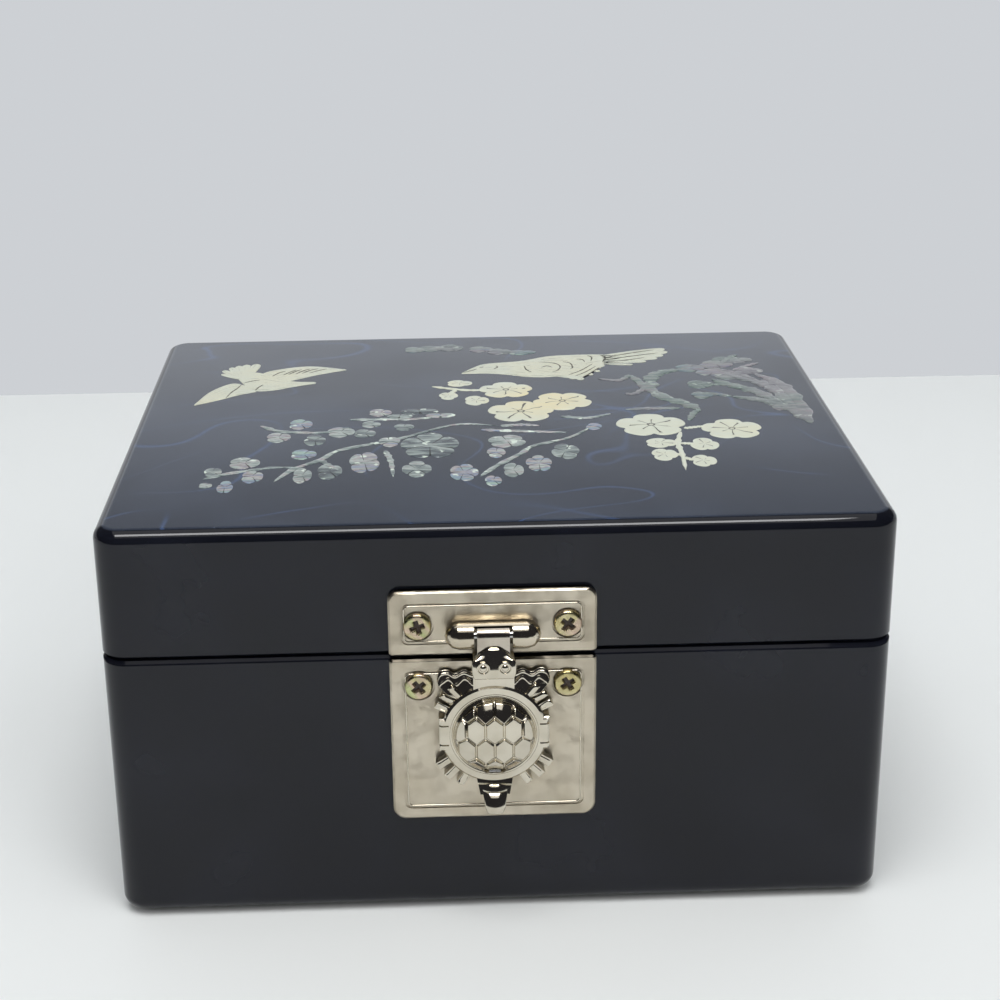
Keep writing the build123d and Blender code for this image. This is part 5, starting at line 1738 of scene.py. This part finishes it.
    def _twigs(self, work: Patchwork, lines: tuple[Line, ...], widths: Triple, level: float = 0.0,
               rise: float = 0.0) -> None:
        """Adds twigs: a half-round section carried along each smooth line, narrowing to its ends.

        Args:
            work: the mesh they go into.
            lines: points that each twig passes.
            widths: half widths along it.
            level: height of its middle above the lid.
            rise: height above that, or 0 for the inlay's own.
        """
        rows, columns = 40, 12
        t = np.linspace(0, 1, rows)
        known = np.stack([np.linspace(0, 1, len(widths)), np.array(widths)], axis=1)
        knots = curve_through(known, rows)[:, 1]
        turn = ring_turns(columns)
        round_up = np.where(np.sin(turn) > 0, (rise or self.proud) * np.abs(np.sin(turn)) ** 0.4,
                            self.sunk * np.sin(turn))
        for line in lines:
            centre = curve_through(line, rows)
            along = np.gradient(centre, axis=0)
            along /= np.linalg.norm(along, axis=1)[:, None]
            aside = np.stack([-along[:, 1], along[:, 0]], axis=1)
            wobble = 1 + 0.18 * np.sin(31 * t + 5 * centre[0, 0]) + 0.12 * np.sin(57 * t)
            half = knots * wobble * np.minimum(1, 8 * np.minimum(t, 1 - t)) ** 0.5
            flat = centre[:, None, :] + (half[:, None] * np.cos(turn))[..., None] * aside[:, None, :]
            up = self.lid_top + (level + round_up * np.minimum(1, half[:, None] / 0.06))
            points = np.concatenate([flat, up[..., None]], axis=-1).reshape(-1, 3)
            work.add(points, rows, columns, np.zeros((rows * columns, 2)), lobes=1.0, tint=0.1)

    def _feathers(self, work: Patchwork, patch: Feathers) -> None:
        """Adds a patch of feathers: lines run from the root to the tip, and the top is crowned between the
        edges.

        Args:
            work: the mesh it goes into.
            patch: the feathers.
        """
        rows, across = 44, 22
        one, two = curve_through(patch.first, rows), curve_through(patch.second, rows)
        share = (1 - np.cos(np.linspace(0, np.pi, across))) / 2
        top = one[:, None, :] * (1 - share[None, :, None]) + two[:, None, :] * share[None, :, None]
        crown = self.proud * patch.lift * np.minimum(1, 4 * np.sqrt(share * (1 - share)))
        height = np.concatenate([np.broadcast_to(crown, (rows, across)),
                                 np.full((rows, across), -self.sunk)], axis=1)
        flat = np.concatenate([top, top[:, ::-1]], axis=1)
        ends = np.ones(rows)
        ends[[0, -1]] = -self.sunk / self.proud
        height = np.where(height > 0, height * ends[:, None], height)
        points = np.concatenate([flat, (self.lid_top + height)[..., None]], axis=-1)
        caps = [np.broadcast_to(points[k].mean(axis=0), points[k].shape) for k in (0, -1)]
        points = np.concatenate([caps[0][None], points, caps[1][None]]).reshape(-1, 3)
        along = np.concatenate([[0], np.linspace(0, 1, rows), [1]])[:, None]
        wide = np.concatenate([share, share[::-1]])[None, :] * patch.count
        pattern = np.stack(np.broadcast_arrays(along, wide), axis=-1).reshape(-1, 2)
        work.add(points, rows + 2, 2 * across, pattern, lobes=1.0, tint=0.0)

    def _fan(self, work: Patchwork, fan: Fan) -> None:
        """Adds a fan: each feather's sides pass its root, its belly, its shoulder and its tip.

        Args:
            work: the mesh it goes into.
            fan: the feathers.
        """
        place, bulge = fan.belly
        for number, tip in enumerate(fan.tips):
            root = np.array(fan.root) + number * np.array(fan.root_step)
            reach = np.array(tip) - root
            aside = np.array([-reach[1], reach[0]]) * fan.width
            sides = [np.array([root, root + place * reach + way * bulge * aside,
                               root + fan.shoulder * reach + way * 0.9 * aside, tip]) for way in (1, -1)]
            self._feathers(work, Feathers(*sides, 2.0, fan.lift + fan.lift_step * number))

    def _birds(self, work: Patchwork) -> None:
        """Adds a bird in flight and a perched bird as patches and fans of feathers.

        Args:
            work: the mesh they go into.
        """
        for patches, fans in ((self.flying, (self.spread_tail,)),
                              (self.perched, (self.wing_tips, self.long_tail))):
            for patch in patches:
                self._feathers(work, patch)
            for fan in fans:
                self._fan(work, fan)


@dataclass
class Padding:
    """The padded velvet: floor pad, ring block and ring rolls. The rolls are swollen by cloth simulation.

    Lengths are millimetres, but the voxel is metres of the enlarged skin. A cushion is given by its solid,
    its name, the points round it, how far its middle stays inside the solid and how tight it is.
    """

    enlarge: float = 10.0
    voxel: float = 0.0055
    pressure: float = 4.0
    frames: int = 20
    slack: float = 0.3
    travel: float = 0.45
    rolls: int = 7
    roll_fill: float = 0.8
    roll_steps: int = 40
    cushions: tuple[tuple[str, str, int, float, float], ...] = (
        ("floor_pad", "floor_cushion", 90, 0.3, 0.5), ("ring_block", "ring_cushion", 60, 0.5, 0.7))
    seam_gap: float = 0.15
    side_power: float = 0.06
    crown_power: float = 0.35

    def build(self) -> list[Piece]:
        """Makes the padding.

        Returns:
            The pieces made.
        """
        velvet = Velvet("padded_velvet").make()
        pieces = [self._cushion(*cushion, velvet) for cushion in self.cushions]
        points, faces = self._swollen(*self._roll("ring_roll_1"))
        first = self._middle("ring_roll_1")
        for number in range(1, self.rolls + 1):
            node = f"ring_roll_{number}"
            mesh = mesh_of(f"ring_bolster_{number}", (points + self._middle(node) - first) * MM, faces)
            piece = show(mesh.name, mesh)
            close_up(mesh)
            fine = piece.modifiers.new("fine", "SUBSURF")
            fine.levels = fine.render_levels = 1
            settle(piece, Body.BASE, velvet, node)
            pieces.append(piece)
        return pieces

    def _middle(self, node: str) -> Array:
        """The middle of a solid's box, in millimetres."""
        low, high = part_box(node)
        return (np.array(low) + np.array(high)) / (2 * MM)

    def _swollen(self, points: Array, faces: list) -> tuple[Array, list]:
        """Lets a closed skin swell as cloth under pressure, sewn down along its foot.

        It is worked larger than life, since cloth is slow to settle in so small a size, and no point
        moves farther than the travel from its start.

        Args:
            points: the skin's points in millimetres.
            faces: its faces.

        Returns:
            The swollen skin's points and faces.
        """
        middle = points.mean(axis=0)
        mesh = mesh_of("swelling", (points - middle) * MM * self.enlarge, faces)
        work = show("swelling", mesh)
        close_up(mesh)
        even = work.modifiers.new("even", "REMESH")
        even.mode = "VOXEL"
        even.voxel_size = self.voxel
        start, faces = self._read(work)
        mesh.clear_geometry()
        mesh.from_pydata(start.tolist(), [], faces)
        work.modifiers.clear()
        foot = np.flatnonzero(start[:, 2] < start[:, 2].min() + 1.5 * self.voxel)
        work.vertex_groups.new(name="sewn").add(foot.tolist(), 1.0, "REPLACE")
        cloth = work.modifiers.new("swell", "CLOTH")
        cloth.settings.use_pressure = True
        cloth.settings.uniform_pressure_force = self.pressure
        cloth.settings.effector_weights.gravity = 0.0
        cloth.settings.vertex_group_mass = "sewn"
        cloth.point_cache.frame_end = self.frames
        for number in range(1, self.frames + 1):
            bpy.context.scene.frame_set(number)
        end, _ = self._read(work)
        moved = end - start
        reach = np.linalg.norm(moved, axis=1, keepdims=True)
        start += moved * np.minimum(1, self.travel * MM * self.enlarge / np.maximum(reach, 1e-9))
        log.info("cloth moved the roll's skin by up to %.2f mm", reach.max() / MM / self.enlarge)
        work.modifiers.clear()
        bpy.context.scene.frame_set(1)
        bpy.data.objects.remove(work)
        return start / (MM * self.enlarge) + middle, faces

    def _read(self, piece: Piece) -> tuple[Array, list]:
        """Reads a piece as its modifiers leave it.

        Args:
            piece: the piece.

        Returns:
            Its points and its faces.
        """
        bpy.context.view_layer.update()
        done = piece.evaluated_get(bpy.context.evaluated_depsgraph_get())
        points = np.empty(3 * len(done.data.vertices))
        done.data.vertices.foreach_get("co", points)
        return points.reshape(-1, 3), [tuple(face.vertices) for face in done.data.polygons]

    def _cushion(self, node: str, name: str, steps: int, inside: float, fill: float,
                 velvet: Material) -> Piece:
        """Makes a crowned block: a rounded box whose section is a squared-off oval.

        Args:
            node: the solid it stands for.
            name: its name.
            steps: points round it.
            inside: how far its middle stays inside the solid.
            fill: how tight it is; not used.
            velvet: its finish.

        Returns:
            The cushion.
        """
        low, high = (np.array(v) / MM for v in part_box(node))
        middle = (low + high) / 2
        half = (high - low) / 2 - np.array([self.seam_gap, self.seam_gap, inside / 2])
        turn = ring_turns(steps)
        lift = np.linspace(-np.pi / 2, np.pi / 2, 24)[:, None]
        level = self._squared(np.cos(lift), self.side_power)
        x = self._squared(np.cos(turn), self.side_power) * level
        y = self._squared(np.sin(turn), self.side_power) * level
        z = self._squared(np.sin(lift), self.crown_power) + 0 * turn
        points = np.stack([x * half[0], y * half[1], z * half[2]], axis=-1).reshape(-1, 3) + middle
        work = Patchwork()
        work.add(points, len(lift), steps, points[:, :2] * MM)
        cushion = work.build(name, Body.BASE, velvet, "velvet_pad", node)
        return cushion

    def _squared(self, wave: Array, power: float) -> Array:
        """A sine or cosine raised to a power that keeps its sign and its zeros, which squares off an oval."""
        return np.where(np.abs(wave) < 1e-9, 0.0, np.sign(wave) * np.abs(wave) ** power)

    def _roll(self, node: str) -> tuple[Array, list]:
        """Makes a slack roll: circles along X whose radius falls off round the ends.

        Args:
            node: the solid it stands for.

        Returns:
            Its points in millimetres, and its faces.
        """
        low, high = (np.array(v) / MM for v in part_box(node))
        middle = (low + high) / 2
        length, radius = (high - low)[0] / 2, (high - low)[1] / 2 - self.slack
        along = np.linspace(-1, 1, self.roll_steps)[:, None]
        turn = ring_turns(self.roll_steps)
        reach = radius * (1 - np.abs(along) ** 9) ** 0.5 * (1 - 0.02 * along**2)
        points = np.stack(np.broadcast_arrays(middle[0] + (length - self.slack) * along + 0 * turn,
                                              middle[1] + reach * np.cos(turn),
                                              high[2] - radius - self.slack + reach * np.sin(turn)), axis=-1)
        points = points.reshape(-1, 3)
        points[:, 2] = np.maximum(points[:, 2], low[2])
        work = Patchwork()
        work.add(points, self.roll_steps, self.roll_steps)
        return points, np.concatenate(work.faces).tolist()


def main() -> None:
    """Builds the camera, the studio and every sub-assembly in order."""
    logging.basicConfig(level=logging.INFO, format="%(message)s")
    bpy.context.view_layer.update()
    Camera().build()
    Studio().build()
    cast = CAST.make()
    for assembly in (Case(), Fittings(cast), TurtleRelief(cast), TurtleShell(cast), Inlay(), Padding()):
        for piece in assembly.build():
            log.info("%s: %s, %d faces", type(assembly).__name__, piece.name, len(piece.data.polygons))


if __name__ == "__main__":
    main()
